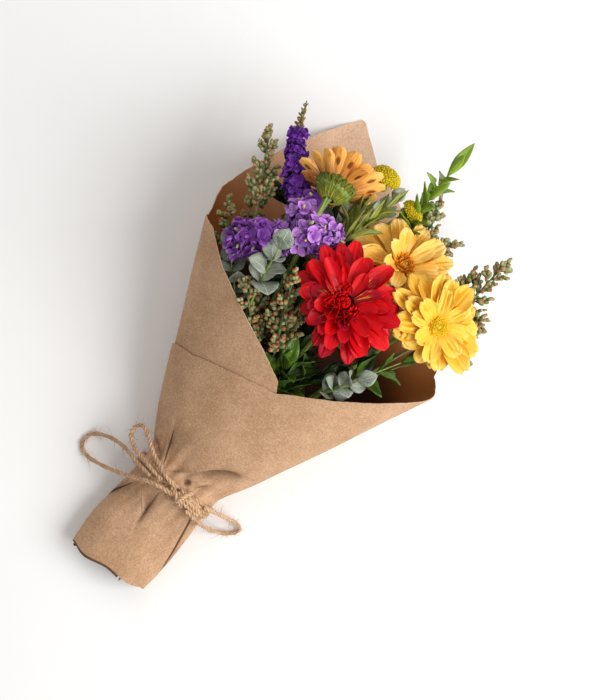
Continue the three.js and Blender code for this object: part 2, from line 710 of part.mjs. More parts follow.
// A point and the heading at a share of the way along the last stretch of a stem.
function along(node, share) {
  const points = routes.get(node).slice(-3);
  const curve = new THREE.QuadraticBezierCurve3(
    points[0],
    points[1].clone().multiplyScalar(2).addScaledVector(points[0], -0.5).addScaledVector(points[2], -0.5),
    points[2],
  );
  return [curve.getPoint(share), curve.getTangent(share)];
}

// Bud sprays: short twigs all round the stem, each set with plump buds to its tip.
function laySprays() {
  Object.entries(SPRAYS).forEach(([node, { twigs, reach, buds }]) => {
    for (let i = 0; i < twigs; i += 1) {
      const share = 0.08 + (0.84 * i) / (twigs - 1);
      const [root, heading] = along(node, share);
      const side = sideOf(heading).applyAxisAngle(heading, i * GOLDEN);
      const length = reach * (1 - 0.5 * share);
      const ways = [0, 0.35, -0.35, 0.7, -0.7, 1.2, -1.2].flatMap((turn) => [1, 0.75].map((fit) => {
        const out = side.clone().applyAxisAngle(heading, turn).addScaledVector(heading, 0.9).normalize();
        return [buddedTwig(length * fit, buds), frame(root, sideOf(out), out)];
      }));
      layClear(node, ways);
    }
    const [end, heading] = along(node, 0.9);
    layClear(node, [[buddedTwig(13, buds), frame(end, sideOf(heading), heading)]]);
  });
}

// A twig along +Z whose buds stand out to one side after another.
function buddedTwig(length, buds) {
  const ring = (height, radius, spin, out) => [0, 1, 2].map((k) => {
    const angle = spin + (k * 2 * Math.PI) / 3;
    return V(
      radius * Math.cos(angle) + out * Math.cos(spin),
      radius * Math.sin(angle) + out * Math.sin(spin),
      height,
    );
  });
  const rings = [ring(0, 0, 0, 0), ring(0.6, TWIG, 0, 0)];
  const start = length * 0.3;
  const step = (length - start) / buds;
  for (let k = 0; k < buds; k += 1) {
    const spin = k * GOLDEN;
    rings.push(ring(start + k * step, TWIG, spin, 0));
    rings.push(ring(start + (k + 0.6) * step, BUD * random(0.85, 1.1), spin, BUD * 0.45));
  }
  rings.push(ring(length + 1.5, 0, 0, 0));
  return loft(rings);
}

// Leafy sprigs: leaves in crossed pairs, shorter towards the tip.
function laySprigs() {
  Object.entries(SPRIGS).forEach(([node, { pairs, leaf, outline, end }]) => {
    for (let i = 0; i < pairs; i += 1) {
      const share = 0.04 + (0.9 * i) / pairs;
      const [root, heading] = along(node, share);
      const across = sideOf(heading).applyAxisAngle(heading, (i % 2) * (Math.PI / 2) + 0.6);
      [1, -1].forEach((way) => layLeaf(node, root, heading, across.clone().multiplyScalar(way), leaf, outline, 1 - 0.3 * share));
    }
    const [tip, heading] = along(node, 0.97);
    if (end) layLeaf(node, tip, heading, heading.clone().addScaledVector(UP, 0.2), leaf, outline, 0.8);
    else layLeaf(node, tip, heading, heading.clone().addScaledVector(UP, 0.4), leaf, outline, 0.6);
  });
}

function layLeaf(node, root, heading, side, [length, half], outline, share) {
  const turns = [0, 0.35, -0.35, 0.7, -0.7, 1.05, -1.05, 1.4, -1.4];
  const leans = [0.75, 1.5, 0.3];
  const ways = turns.flatMap((turn) => leans.flatMap((lean) => [1, 0.8].map((fit) => {
    const out = side.clone().applyAxisAngle(heading, turn).addScaledVector(heading, lean).normalize();
    const shape = blade({ length: length * share * fit, half: half * share * fit, outline, curl: -0.35, cup: 0.1, thick: 2, flat: true });
    return [shape, frame(root, out, heading.clone().addScaledVector(UP, 0.4))];
  })));
  layClear(node, ways);
}

function twineLoops() {
  Object.entries(LOOPS).forEach(([name, points]) => lay(name, tube(points, TWINE / 2 - 0.1, 8)));
}

paperWrap();
twineBand();
twineLoops();
layStems();
layBloomBases();
layBlooms();
layButtons();
layLilacs();
layLarkspur();
laySprays();
laySprigs();

// Colours of the finished nodes.
const COLOURS = {
  wrap: [0xb08a66, 0.85],
  twine: [0xb99263, 0.95],
  stem: [0x55762f, 0.65],
  spray: [0x7f8f5a, 0.75],
  silver: [0x8fa695, 0.7],
  leaf: [0x3f7a34, 0.55],
  lime: [0x7f8f3a, 0.6],
  dark: [0x1f4f22, 0.5],
  lilac: [0x7a4bb0, 0.7],
  larkspur: [0x4a2391, 0.7],
  button: [0xd9b413, 0.8],
};

function finish(node) {
  const bloom = Object.entries(BLOOMS).find(([name]) => node === `${name}_petals`);
  if (bloom) return [bloom[1].colour, 0.6];
  if (node.startsWith('twine')) return COLOURS.twine;
  if (node.startsWith('bud_spray')) return COLOURS.spray;
  if (SPRIGS[node]) return COLOURS[SPRIGS[node].colour];
  if (node.endsWith('_stem')) return COLOURS.stem;
  if (node.startsWith('lilac')) return COLOURS.lilac;
  if (node.startsWith('larkspur')) return COLOURS.larkspur;
  if (node.startsWith('button')) return COLOURS.button;
  return COLOURS.wrap;
}

// Fuses a node's pieces; what fusing seals off inside is filled, and a loose scrap is dropped.
function fuse(solids) {
  const bodies = wasm.Manifold.union(solids).simplify(0.02).decompose();
  return bodies.reduce((best, body) => (body.volume() > best.volume() ? body : best));
}

const bouquet = new THREE.Group();
bouquet.position.copy(MIDDLE).negate();
for (const [node, solids] of nodes) {
  const [color, roughness] = finish(node);
  const mesh = new THREE.Mesh(
    toGeometry(solids.length > 1 ? fuse(solids) : solids[0]),
    new THREE.MeshStandardMaterial({ color, roughness, metalness: 0 }),
  );
  mesh.name = node;
  bouquet.add(mesh);
}

export default bouquet;
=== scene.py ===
"""Looks of a mixed flower bouquet in a kraft-paper wrap tied with a twine bow.

Every piece is modelled in millimetres from the tie, +Y towards the flowers and +Z up, as the
solids are, and is then put in its place in the row frame, in metres, in its own mesh.
"""

import logging
import math
import random
from dataclasses import KW_ONLY, dataclass
from enum import Enum
from typing import Callable, Protocol

import bmesh
import bpy
from mathutils import Matrix, Vector


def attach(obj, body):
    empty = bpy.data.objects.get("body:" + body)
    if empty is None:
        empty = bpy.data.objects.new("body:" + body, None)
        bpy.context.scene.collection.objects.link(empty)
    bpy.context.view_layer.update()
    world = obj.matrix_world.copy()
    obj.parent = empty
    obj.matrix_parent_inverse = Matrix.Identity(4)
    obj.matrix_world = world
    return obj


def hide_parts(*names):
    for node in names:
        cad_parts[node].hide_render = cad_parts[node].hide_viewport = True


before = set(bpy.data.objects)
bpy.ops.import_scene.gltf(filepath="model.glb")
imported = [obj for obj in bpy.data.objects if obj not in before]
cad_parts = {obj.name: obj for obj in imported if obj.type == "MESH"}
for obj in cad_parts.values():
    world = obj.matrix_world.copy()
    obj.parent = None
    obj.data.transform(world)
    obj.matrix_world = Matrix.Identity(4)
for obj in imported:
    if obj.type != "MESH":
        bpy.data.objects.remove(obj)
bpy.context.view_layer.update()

LOG = logging.getLogger("bouquet")
BODY = "root"
MM = 0.001
TIE = Vector((0.001, -0.152, 0.0))
TO_ROW = Matrix.Translation(TIE) @ Matrix.Scale(MM, 4)
UP = Vector((0.0, 0.0, 1.0))
ACROSS = Vector((1.0, 0.0, 0.0))
FORWARD = Vector((0.0, 1.0, 0.0))
PLIES = 3
GOLDEN = math.pi * (3 - math.sqrt(5))
# How near to its row a point of a new grid or ball lies.
ON_ROW = 0.01
# The widest angle in degrees that is shaded smooth, on soft pieces and on firm ones.
SMOOTH = 80.0
FIRM = 60.0
# The end of the range of random turns, and how far apart two copies lie in the noise.
ANY_TURN = 6.3
SHIFT = 40.0
# The first seeds of the sprays and of the sprigs.
SPRAY_SEED = 1
SPRIG_SEED = 11
UV = "UVMap"
TINT = "tint"
SHADE = "shade"

Pair = tuple[float, float]
Triple = tuple[float, float, float]
Colour = Triple
Number = "Wire | float"
Piece = bpy.types.Object
Material = bpy.types.Material
Draw = random.Random
Test = Callable[[Vector], bool]
Route = Callable[[float], tuple[Vector, Vector]]
Strand = list[tuple[Vector, float]]
Copies = list[tuple["Shape", Matrix]]


class Shape(Protocol):
    """What every shape offers that is modelled once and copied."""

    def model(self) -> Piece:
        """Models the shape."""


# Shader maths.
class Wire:
    """A node's output that can be used in sums with numbers and other outputs."""

    def __init__(self, shader: "Shader", socket: bpy.types.NodeSocket) -> None:
        """Wraps one output socket of a shader."""
        self.shader = shader
        self.socket = socket

    def _math(self, operation: str, first: Number, second: Number) -> "Wire":
        """Adds a Math node on two values."""
        return self.shader.node("ShaderNodeMath", {"operation": operation}, {0: first, 1: second})

    def __add__(self, other: Number) -> "Wire":
        """Sum."""
        return self._math("ADD", self, other)

    def __mul__(self, other: Number) -> "Wire":
        """Product."""
        return self._math("MULTIPLY", self, other)

    def __sub__(self, other: Number) -> "Wire":
        """Difference."""
        return self._math("SUBTRACT", self, other)

    def __rsub__(self, other: Number) -> "Wire":
        """Difference from a number."""
        return self._math("SUBTRACT", other, self)

    def __pow__(self, other: Number) -> "Wire":
        """Power."""
        return self._math("POWER", self, other)

    def size(self) -> "Wire":
        """The value without its sign."""
        return self._math("ABSOLUTE", self, 0.0)

    def sine(self) -> "Wire":
        """Sine."""
        return self._math("SINE", self, 0.0)

    def or_more(self, other: Number) -> "Wire":
        """The larger of two values."""
        return self._math("MAXIMUM", self, other)

    def share(self) -> "Wire":
        """The value, held between 0 and 1."""
        return self.shader.node("ShaderNodeClamp", {}, {"Value": self, "Min": 0.0, "Max": 1.0})


class Shader:
    """A material in the making, with a Principled shader at its end."""

    def __init__(self, name: str) -> None:
        """Starts an empty material of that name."""
        self.material = bpy.data.materials.new(name)
        self.material.use_nodes = True
        self.tree = self.material.node_tree
        self.tree.nodes.clear()

    def feed(self, socket: bpy.types.NodeSocket, value: object) -> None:
        """Links a wire to a socket or sets the socket's value."""
        if isinstance(value, Wire):
            self.tree.links.new(value.socket, socket)
            return
        if isinstance(value, tuple) and socket.type == "RGBA" and len(value) == 3:
            value = (*value, 1.0)
        socket.default_value = value

    def node(
        self, kind: str, settings: dict | None = None, inputs: dict | None = None, output: int | str = 0,
    ) -> Wire:
        """Adds any node.

        Args:
            kind: the node's type.
            settings: its properties, set first.
            inputs: values or wires by socket name or number.
            output: the output that is returned.

        Returns:
            The chosen output.
        """
        made = self.tree.nodes.new(kind)
        for key, value in (settings or {}).items():
            setattr(made, key, value)
        for key, value in (inputs or {}).items():
            self.feed(made.inputs[key], value)
        return Wire(self, made.outputs[output])

    def mix(self, factor: Number, first: object, second: object) -> Wire:
        """Mixes two colours; 6 and 7 are the node's colour inputs and 2 is its colour output."""
        return self.node("ShaderNodeMix", {"data_type": "RGBA"}, {0: factor, 6: first, 7: second}, 2)

    def step(self, value: Number, low: float, high: float) -> Wire:
        """A smooth mask that rises from 0 at low to 1 at high."""
        inputs = {"Value": value, "From Min": low, "From Max": high}
        return self.node("ShaderNodeMapRange", {"interpolation_type": "SMOOTHSTEP"}, inputs)

    def noise(
        self, vector: Wire, scale: float, detail: float = 2.0, rough: float = 0.5,
        shift: Wire | None = None,
    ) -> Wire:
        """Cloudy noise.

        Args:
            vector: the place that it follows.
            scale: how fine it is.
            detail: how many finer layers it has.
            rough: how strong the finer layers are.
            shift: what gives each copy a pattern of its own.

        Returns:
            The noise.
        """
        inputs = {"Vector": vector, "Scale": scale, "Detail": detail, "Roughness": rough}
        if shift is None:
            return self.node("ShaderNodeTexNoise", {}, inputs)
        inputs["W"] = shift * SHIFT
        return self.node("ShaderNodeTexNoise", {"noise_dimensions": "4D"}, inputs)

    def place(self) -> Wire:
        """Object coordinates, in metres in the row frame."""
        return self.node("ShaderNodeTexCoord", {}, {}, "Object")

    def stretched(self, vector: Wire, across: float, along: float) -> Wire:
        """Scales a place, by one value along the bouquet and by another square to it."""
        return self.node("ShaderNodeMapping", {}, {"Vector": vector, "Scale": (across, along, across)})

    def uv(self, across: float = 1.0, along: float = 1.0) -> Wire:
        """The piece's own UV map, stretched."""
        flat = self.node("ShaderNodeUVMap", {"uv_map": UV})
        return self.node("ShaderNodeMapping", {}, {"Vector": flat, "Scale": (across, along, 1.0)})

    def split_uv(self) -> tuple[Wire, Wire]:
        """The UV map's two values: across and along."""
        across, along, _ = self.parts(self.node("ShaderNodeUVMap", {"uv_map": UV}))
        return across, along

    def attribute(self, name: str) -> Wire:
        """A value that the mesh holds at each point."""
        return self.node("ShaderNodeAttribute", {"attribute_name": name}, {}, "Fac")

    def tint(self) -> Wire:
        """Each copy's own random value."""
        return self.attribute(TINT)

    def parts(self, vector: Wire) -> tuple[Wire, Wire, Wire]:
        """A vector's three values."""
        first = self.node("ShaderNodeSeparateXYZ", {}, {"Vector": vector})
        outputs = first.socket.node.outputs
        return first, Wire(self, outputs["Y"]), Wire(self, outputs["Z"])

    def bump(self, height: Wire, depth: float, strength: float = 1.0) -> Wire:
        """A normal from a height, with its depth in metres."""
        inputs = {"Height": height, "Distance": depth, "Strength": strength}
        return self.node("ShaderNodeBump", {}, inputs)

    def close(
        self, colour: object, roughness: Number, normal: Wire | None = None, **numbers: float,
    ) -> Material:
        """Ends the material.

        Args:
            colour: base colour, as a wire or a plain colour.
            roughness: roughness, as a wire or a number.
            normal: the bumped normal.
            numbers: the Principled shader's other values, with _ for a space.

        Returns:
            The finished material.
        """
        inputs = {"Base Color": colour, "Roughness": roughness}
        inputs.update({key.replace("_", " "): value for key, value in numbers.items()})
        if normal is not None:
            inputs["Normal"] = normal
        skin = self.node("ShaderNodeBsdfPrincipled", {}, inputs)
        end = self.tree.nodes.new("ShaderNodeOutputMaterial")
        self.tree.links.new(skin.socket, end.inputs["Surface"])
        return self.material


# Finishes.
class Finish:
    """What a surface is made of."""

    name: str
    made: dict[str, Material] = {}

    def build(self, s: Shader) -> Material:
        """Builds the material."""
        raise NotImplementedError

    def material(self) -> Material:
        """The material, built once."""
        if self.name not in self.made:
            self.made[self.name] = self.build(Shader(self.name))
        return self.made[self.name]


@dataclass(frozen=True)
class FoldShadow:
    """A sharp painted shadow along a fold seen from above: x, y and half width at each point, in mm."""

    points: tuple[Triple, ...]
    dark: float = 0.85
    edge: Pair = (-0.2, 0.5)

    def mask(self, s: Shader, x: Wire, y: Wire) -> Wire:
        """How much painted shadow the fold puts on the paper."""
        found = 0.0
        for (ax, ay, start), (bx, by, end) in zip(self.points, self.points[1:]):
            dx, dy = bx - ax, by - ay
            share = (((x - ax) * dx + (y - ay) * dy) * (1.0 / (dx * dx + dy * dy))).share()
            off_x, off_y = x - ax - share * dx, y - ay - share * dy
            gap = (off_x * off_x + off_y * off_y) ** 0.5 - share * (end - start) - start
            found = (1.0 - s.step(gap, *self.edge)).or_more(found)
        return found * self.dark


@dataclass(frozen=True)
class PocketShadow:
    """Painted shade in the hollow under a bulge of the paper: an oval with one sharp edge, darker towards
    it.
    """

    middle: Pair = (24.3, 22.3)
    way: Pair = (0.717, 0.698)
    half: Pair = (29.0, 12.0)
    dark: float = 0.75
    edge: Pair = (0.95, 1.01)
    far_end: float = 0.4
    lead: float = 4.0

    def mask(self, s: Shader, x: Wire, y: Wire) -> Wire:
        """How much painted shade the hollow puts on the paper."""
        (mx, my), (wx, wy), (length, width) = self.middle, self.way, self.half
        along = (x - mx) * wx + (y - my) * wy
        across = (y - my) * wx - (x - mx) * wy
        u, v = along * (1.0 / length), across * (1.0 / width)
        inside = 1.0 - s.step((u * u + v * v) ** 0.5, *self.edge)
        level = s.step(along, -length, length) * (1.0 - self.far_end) + self.far_end
        return inside * s.step(across, -self.lead, width) * level * self.dark


@dataclass(frozen=True)
class PaperFinish(Finish):
    """Unbleached kraft paper: cloudy pulp, fine fibres and dark specks, with painted shade down in the wrap
    and painted shadows along its creases and folds.
    """

    name: str
    light: Colour
    dark: Colour
    speck: Colour
    roughness: float = 0.82
    # Painted shade inside the cone: a warm deep colour like bounced light and a darker one near the bottom,
    # with the heights over which they fade; then the painted shadow colour of creases and folds.
    deep: Colour | None = None
    deep_range: Pair = (0.03, 0.2)
    low_shade: Colour = (0.05, 0.018, 0.006)
    low_shade_range: Pair = (0.05, 0.115)
    shadow: Colour = (0.05, 0.02, 0.008)
    fleck: Colour = (0.85, 0.66, 0.48)
    # The heights in metres over which the painted fold shadows fade in.
    front: Pair = (0.008, 0.016)
    fold_shadows: tuple[FoldShadow | PocketShadow, ...] = ()

    def build(self, s: Shader) -> Material:
        """Builds the material."""
        place = s.place()
        cloud = s.noise(place, 34.0, 4.0, 0.6)
        pulp = s.noise(place, 560.0, 3.0, 0.7)
        ribs = s.noise(s.stretched(place, 900.0, 60.0), 1.0, 2.0)
        colour = s.mix(s.step(cloud * 0.4 + pulp * 0.6, 0.36, 0.64), self.dark, self.light)
        specks = s.step(s.noise(place, 700.0, 2.0, 0.4), 0.6, 0.72)
        colour = s.mix(specks * 0.5, colour, self.speck)
        flecks = s.step(s.noise(place, 430.0, 2.0, 0.5), 0.62, 0.74)
        colour = s.mix(flecks * 0.35, colour, self.fleck)
        # Painted shade deep in the cone, warm like light bounced in the paper, and darker still near its
        # bottom.
        if self.deep:
            _, along, height = s.parts(place)
            colour = s.mix(s.step(along + (cloud - 0.5) * 0.02, *self.deep_range), self.deep, colour)
            colour = s.mix(s.step(along + height * 1.2, *self.low_shade_range), self.low_shade, colour)
        # Painted shade of the creases, the hole and the tail's lip, as the mesh holds it.
        colour = s.mix(s.attribute(SHADE), colour, self.shadow)
        # Painted shadows along the folds and in the hollow under the bulge, faded out near the floor.
        if self.fold_shadows:
            x, y, z = s.parts(place)
            x, y = (x - TIE.x) * (1.0 / MM), (y - TIE.y) * (1.0 / MM)
            front = s.step(z, *self.front)
            for fold in self.fold_shadows:
                colour = s.mix(fold.mask(s, x, y) * front, colour, self.shadow)
        height = pulp * 0.6 + ribs * 0.4 + cloud * 0.8
        return s.close(colour, self.roughness, s.bump(height, 0.0004, 0.8), Specular_IOR_Level=0.25)


@dataclass(frozen=True)
class TwineFinish(Finish):
    """Jute: three twisted plies with painted shade in the grooves between them, pale and brown fibres,
    rough all over.
    """

    name: str = "jute_twine"
    pale: Colour = (0.74, 0.48, 0.28)
    brown: Colour = (0.42, 0.22, 0.1)
    groove_shade: Colour = (0.12, 0.055, 0.02)

    def build(self, s: Shader) -> Material:
        """Builds the material."""
        across, _ = s.split_uv()
        fibres = s.noise(s.uv(26.0, 0.09), 1.0, 4.0, 0.65)
        strand = s.noise(s.uv(3.0, 0.02), 1.0, 2.0)
        patches = s.noise(s.place(), 130.0, 3.0)
        mask = s.step(fibres * 0.5 + strand * 0.25 + patches * 0.25, 0.38, 0.6)
        colour = s.mix(mask, self.brown, self.pale)
        ply = (across * (PLIES * math.pi)).sine().size()
        # Painted shade in the grooves between the plies.
        colour = s.mix((1.0 - s.step(ply, 0.0, 0.55)) * 0.75, colour, self.groove_shade)
        height = fibres * 0.5 + ply * 0.5
        return s.close(colour, 0.9, s.bump(height, 0.0008, 1.0), Sheen_Weight=0.2, Sheen_Roughness=0.6)


@dataclass(frozen=True)
class PetalFinish(Finish):
    """A soft petal: root, body and tip run into each other, with streaks along it and some marks."""

    name: str
    root: Colour
    body: Colour
    tip: Colour
    deep: Colour
    streak: Colour
    streaks: float = 0.3
    vary: float = 0.6
    roughness: float = 0.5
    root_end: float = 0.35
    tip_start: float = 0.7
    mark: Colour | None = None
    marks: float = 0.6
    mark_reach: Pair = (0.2, 0.6)
    mark_grain: Pair = (6.0, 3.0)
    mark_from: float = 0.0
    spot: Colour | None = None
    spot_at: float = 0.4
    spot_half: Pair = (0.26, 0.11)
    veins: float = 9.0
    lines: float = 0.0
    relief: float = 0.00035

    def build(self, s: Shader) -> Material:
        """Builds the material."""
        across, along = s.split_uv()
        tint = s.tint()
        fine = s.noise(s.uv(self.veins * 2.2, 1.3), 1.0, 3.0, 0.6, tint)
        broad = s.noise(s.uv(self.veins, 0.7), 1.0, 2.0, 0.5, tint)
        patches = s.noise(s.place(), 85.0, 2.0)
        colour = s.mix(s.step(along, 0.0, self.root_end), self.root, self.body)
        colour = s.mix(s.step(along + (patches - 0.5) * 0.3, self.tip_start, 1.0), colour, self.tip)
        colour = s.mix(s.step(tint, 0.35, 1.0) * self.vary, colour, self.deep)
        colour = s.mix(s.step(fine * 0.5 + broad * 0.5, 0.52, 0.68) * self.streaks, colour, self.streak)
        if self.lines:
            waves = (across * 31.0 + broad * 7.0).sine()
            colour = s.mix(s.step(waves, 0.35, 1.0) * self.lines, colour, self.deep)
        if self.mark:
            grain = s.noise(s.uv(*self.mark_grain), 1.0, 2.0, 0.5, tint)
            spots = s.step(grain, 0.56, 0.62) * s.step(tint, self.mark_from - 0.05, self.mark_from)
            low, high = self.mark_reach
            within = s.step(along, low - 0.1, low + 0.05) * (1.0 - s.step(along, high - 0.1, high + 0.1))
            colour = s.mix(spots * within * self.marks, colour, self.mark)
        if self.spot:
            colour = s.mix(self._oval(s, across, along, fine), colour, self.spot)
        relief = s.bump(broad * 0.6 + fine * 0.4, self.relief, 0.8)
        return s.close(colour, self.roughness, relief, Specular_IOR_Level=0.2)

    def _oval(self, s: Shader, across: Wire, along: Wire, fine: Wire) -> Wire:
        """The mask of an oval spot that most petals have."""
        half, reach = self.spot_half
        x = (across - 0.5 + (s.tint() - 0.5) * 0.25) * (1.0 / half)
        y = (along - self.spot_at + (s.tint() - 0.5) * 0.2) * (1.0 / reach)
        gone = (x * x + y * y) ** 0.5 + (fine - 0.5) * 1.9
        return (1.0 - s.step(gone, 0.6, 1.1)) * s.step(s.tint(), 0.15, 0.2) * 0.88


@dataclass(frozen=True)
class LeafFinish(Finish):
    """A leaf: a pale rib, slanting side veins and uneven green, and, for some kinds, painted shade where it
    lies low in the wrap.
    """

    name: str
    light: Colour
    dark: Colour
    rib: Colour
    roughness: float = 0.45
    rib_width: float = 0.035
    bloom: float = 0.0
    coat: float = 0.0
    # The heights in metres over which painted shade on low leaves fades out, if any.
    shaded: Pair | None = None
    wax: Colour = (0.78, 0.84, 0.8)
    # The colour of that painted shade.
    leaf_shade: Colour = (0.004, 0.01, 0.002)

    def build(self, s: Shader) -> Material:
        """Builds the material."""
        across, along = s.split_uv()
        offset = (across - 0.5).size()
        slant = ((along * 9.0 - offset * 7.0) * math.tau).sine()
        patches = s.noise(s.place(), 120.0, 3.0)
        fine = s.noise(s.place(), 900.0, 2.0)
        colour = s.mix(s.step(patches * 0.7 + s.tint() * 0.3, 0.25, 0.75), self.dark, self.light)
        veins = s.step(slant, 0.86, 1.0) * 0.35
        middle = 1.0 - s.step(offset, self.rib_width * 0.4, self.rib_width)
        colour = s.mix(veins, colour, self.rib)
        colour = s.mix(middle * 0.8, colour, self.rib)
        if self.bloom:
            colour = s.mix(s.step(fine, 0.42, 0.7) * self.bloom, colour, self.wax)
        # Painted shade on leaves that lie low in the wrap.
        if self.shaded:
            height = s.parts(s.place())[2] + patches * 0.02
            colour = s.mix((1.0 - s.step(height, *self.shaded)) * 0.85, colour, self.leaf_shade)
        height = slant * -0.2 + middle * 0.8 + fine * 0.2
        relief = s.bump(height, 0.0004, 0.7)
        gloss = {"Coat_Weight": self.coat, "Coat_Roughness": 0.25, "Specular_IOR_Level": 0.3}
        return s.close(colour, self.roughness, relief, **gloss)


@dataclass(frozen=True)
class BudFinish(Finish):
    """A plump closed bud: grey-green with a red tip."""

    name: str = "bud"
    green: Colour = (0.12, 0.16, 0.045)
    pale: Colour = (0.38, 0.42, 0.18)
    tip: Colour = (0.5, 0.018, 0.01)
    tip_start: float = 0.74
    warm: Colour = (0.5, 0.14, 0.03)

    def build(self, s: Shader) -> Material:
        """Builds the material."""
        across, along = s.split_uv()
        tint = s.tint()
        patches = s.noise(s.place(), 420.0, 3.0)
        colour = s.mix(s.step(patches * 0.6 + along * 0.4, 0.3, 0.7), self.green, self.pale)
        tips = s.step(along + (patches - 0.5) * 0.3, self.tip_start, self.tip_start + 0.12)
        red = s.mix(s.step(tint, 0.5, 1.0), self.tip, self.warm)
        colour = s.mix(tips * s.step(tint, 0.2, 0.45) * 0.9, colour, red)
        return s.close(colour, 0.6, s.bump(patches, 0.0004, 0.8), Specular_IOR_Level=0.25)


@dataclass(frozen=True)
class StemFinish(Finish):
    """A stem: long pale and dark ribs."""

    name: str
    light: Colour
    dark: Colour
    roughness: float = 0.5
    gloss: float = 0.5

    def build(self, s: Shader) -> Material:
        """Builds the material."""
        place = s.place()
        ribs = s.noise(s.stretched(place, 900.0, 45.0), 1.0, 3.0)
        patches = s.noise(place, 90.0, 3.0)
        colour = s.mix(s.step(ribs * 0.6 + patches * 0.4, 0.36, 0.64), self.dark, self.light)
        return s.close(colour, self.roughness, s.bump(ribs, 0.0004, 0.7), Specular_IOR_Level=self.gloss)


@dataclass(frozen=True)
class FloorFinish(Finish):
    """A plain pale floor with a hint of cloud."""

    name: str = "pale_floor"
    colour: Colour = (0.92, 0.93, 0.95)
    cloud: float = 0.985

    def build(self, s: Shader) -> Material:
        """Builds the material."""
        grain = s.noise(s.place(), 40.0)
        shade = tuple(value * self.cloud for value in self.colour)
        return s.close(s.mix(grain, self.colour, shade), 0.9)


# Painted shadows along the paper's folds and in the hollow under its bulge. Each point of a fold: x, y and
# half width in millimetres.
FOLD_SHADOWS = (
    FoldShadow(((-33.5, 37.1, 0.1), (-28.1, 25.1, 0.85), (-24.5, 15.3, 0.6), (-20.4, 5.9, 0.2)), 0.9),
    FoldShadow(((-44.8, -54.7, 1.1), (-40.1, -43.3, 0.9), (-32.0, -27.3, 0.2)), 0.9),
    FoldShadow(((30.9, -17.2, 0.9), (35.1, -39.0, 0.8), (38.3, -55.3, 0.5), (40.1, -70.9, 0.2))),
    FoldShadow(((-20.8, -26.5, 0.2), (-13.5, -35.5, 0.5), (-6.7, -43.1, 0.3)), 0.4),
    FoldShadow(((-7.1, -18.7, 0.1), (-6.0, -36.0, 0.35), (-5.1, -52.8, 0.1)), 0.5),
    PocketShadow(),
)
# Paper: name, light, dark, speck.
KRAFT = PaperFinish(
    "kraft_outside", (0.59, 0.375, 0.235), (0.42, 0.245, 0.135), (0.26, 0.14, 0.07), fold_shadows=FOLD_SHADOWS,
)
# Its deep colour is painted shade, warm like light bounced inside the cone.
KRAFT_INSIDE = PaperFinish(
    "kraft_inside", (0.8, 0.55, 0.38), (0.62, 0.4, 0.26), (0.44, 0.26, 0.15), deep=(0.5, 0.17, 0.04),
    deep_range=(0.05, 0.2),
)
KRAFT_EDGE = PaperFinish("kraft_edge", (0.74, 0.54, 0.38), (0.55, 0.37, 0.23), (0.34, 0.2, 0.1))
JUTE = TwineFinish()
# Petals: name, root, body, tip, deep, streak.
RED = PetalFinish(
    "red_petal", (0.16, 0.0, 0.001), (0.64, 0.001, 0.005), (0.76, 0.002, 0.006), (0.26, 0.0, 0.014),
    (0.9, 0.02, 0.02), streaks=0.25, vary=0.8, mark=(0.9, 0.42, 0.05), marks=0.8, mark_reach=(0.1, 0.7),
    mark_grain=(13.0, 1.4), mark_from=0.84, lines=0.3,
)
RED_TUFT = PetalFinish(
    "red_tuft", (0.14, 0.0, 0.001), (0.66, 0.002, 0.004), (0.8, 0.006, 0.006), (0.34, 0.0, 0.004),
    (0.85, 0.05, 0.02), streaks=0.25,
)
YELLOW = PetalFinish(
    "yellow_petal", (0.9, 0.38, 0.008), (0.93, 0.57, 0.065), (0.94, 0.63, 0.14), (0.9, 0.44, 0.02),
    (0.96, 0.72, 0.28), streaks=0.65, vary=0.45, veins=7.0, lines=0.4, relief=0.001,
)
YELLOW_TUFT = PetalFinish(
    "yellow_tuft", (1.0, 0.74, 0.03), (1.0, 0.8, 0.04), (1.0, 0.86, 0.1), (1.0, 0.72, 0.02),
    (1.0, 0.9, 0.3),
)
AMBER = PetalFinish(
    "amber_petal", (0.9, 0.36, 0.012), (0.96, 0.61, 0.12), (0.97, 0.72, 0.28), (0.9, 0.46, 0.05),
    (0.99, 0.82, 0.45), streaks=0.65, vary=0.45, veins=7.0, mark=(0.7, 0.06, 0.01), marks=0.7,
    mark_reach=(0.0, 0.2), mark_grain=(7.0, 2.0), mark_from=0.5, lines=0.4, relief=0.001,
)
AMBER_TUFT = PetalFinish(
    "amber_tuft", (0.45, 0.02, 0.004), (0.9, 0.42, 0.02), (0.95, 0.62, 0.1), (0.5, 0.01, 0.006),
    (0.9, 0.55, 0.1),
)
BRONZE = PetalFinish(
    "bronze_petal", (0.3, 0.12, 0.045), (0.94, 0.48, 0.1), (0.95, 0.54, 0.14), (0.86, 0.3, 0.025),
    (0.98, 0.72, 0.36), streaks=0.6, veins=6.0, root_end=0.8, mark=(0.68, 0.12, 0.015), marks=0.8,
    mark_reach=(0.3, 0.95), mark_grain=(7.0, 2.0), spot=(0.17, 0.03, 0.01), spot_at=0.62,
    spot_half=(0.17, 0.15), lines=0.35, relief=0.0009,
)
BRONZE_TUFT = PetalFinish(
    "bronze_tuft", (0.3, 0.04, 0.004), (0.85, 0.32, 0.02), (0.9, 0.5, 0.1), (0.5, 0.1, 0.01),
    (0.9, 0.55, 0.1),
)
BUTTON = PetalFinish(
    "button_floret", (0.16, 0.14, 0.004), (0.6, 0.45, 0.006), (0.74, 0.56, 0.01), (0.34, 0.27, 0.006),
    (0.85, 0.68, 0.06), vary=0.6,
)
LILAC = PetalFinish(
    "lilac_floret", (0.76, 0.68, 0.7), (0.47, 0.18, 0.66), (0.62, 0.36, 0.8), (0.18, 0.04, 0.33),
    (0.86, 0.72, 0.92), streaks=0.55, vary=0.9, root_end=0.4, mark=(0.72, 0.66, 0.42), marks=0.5,
    mark_reach=(0.0, 0.35), veins=5.0,
)
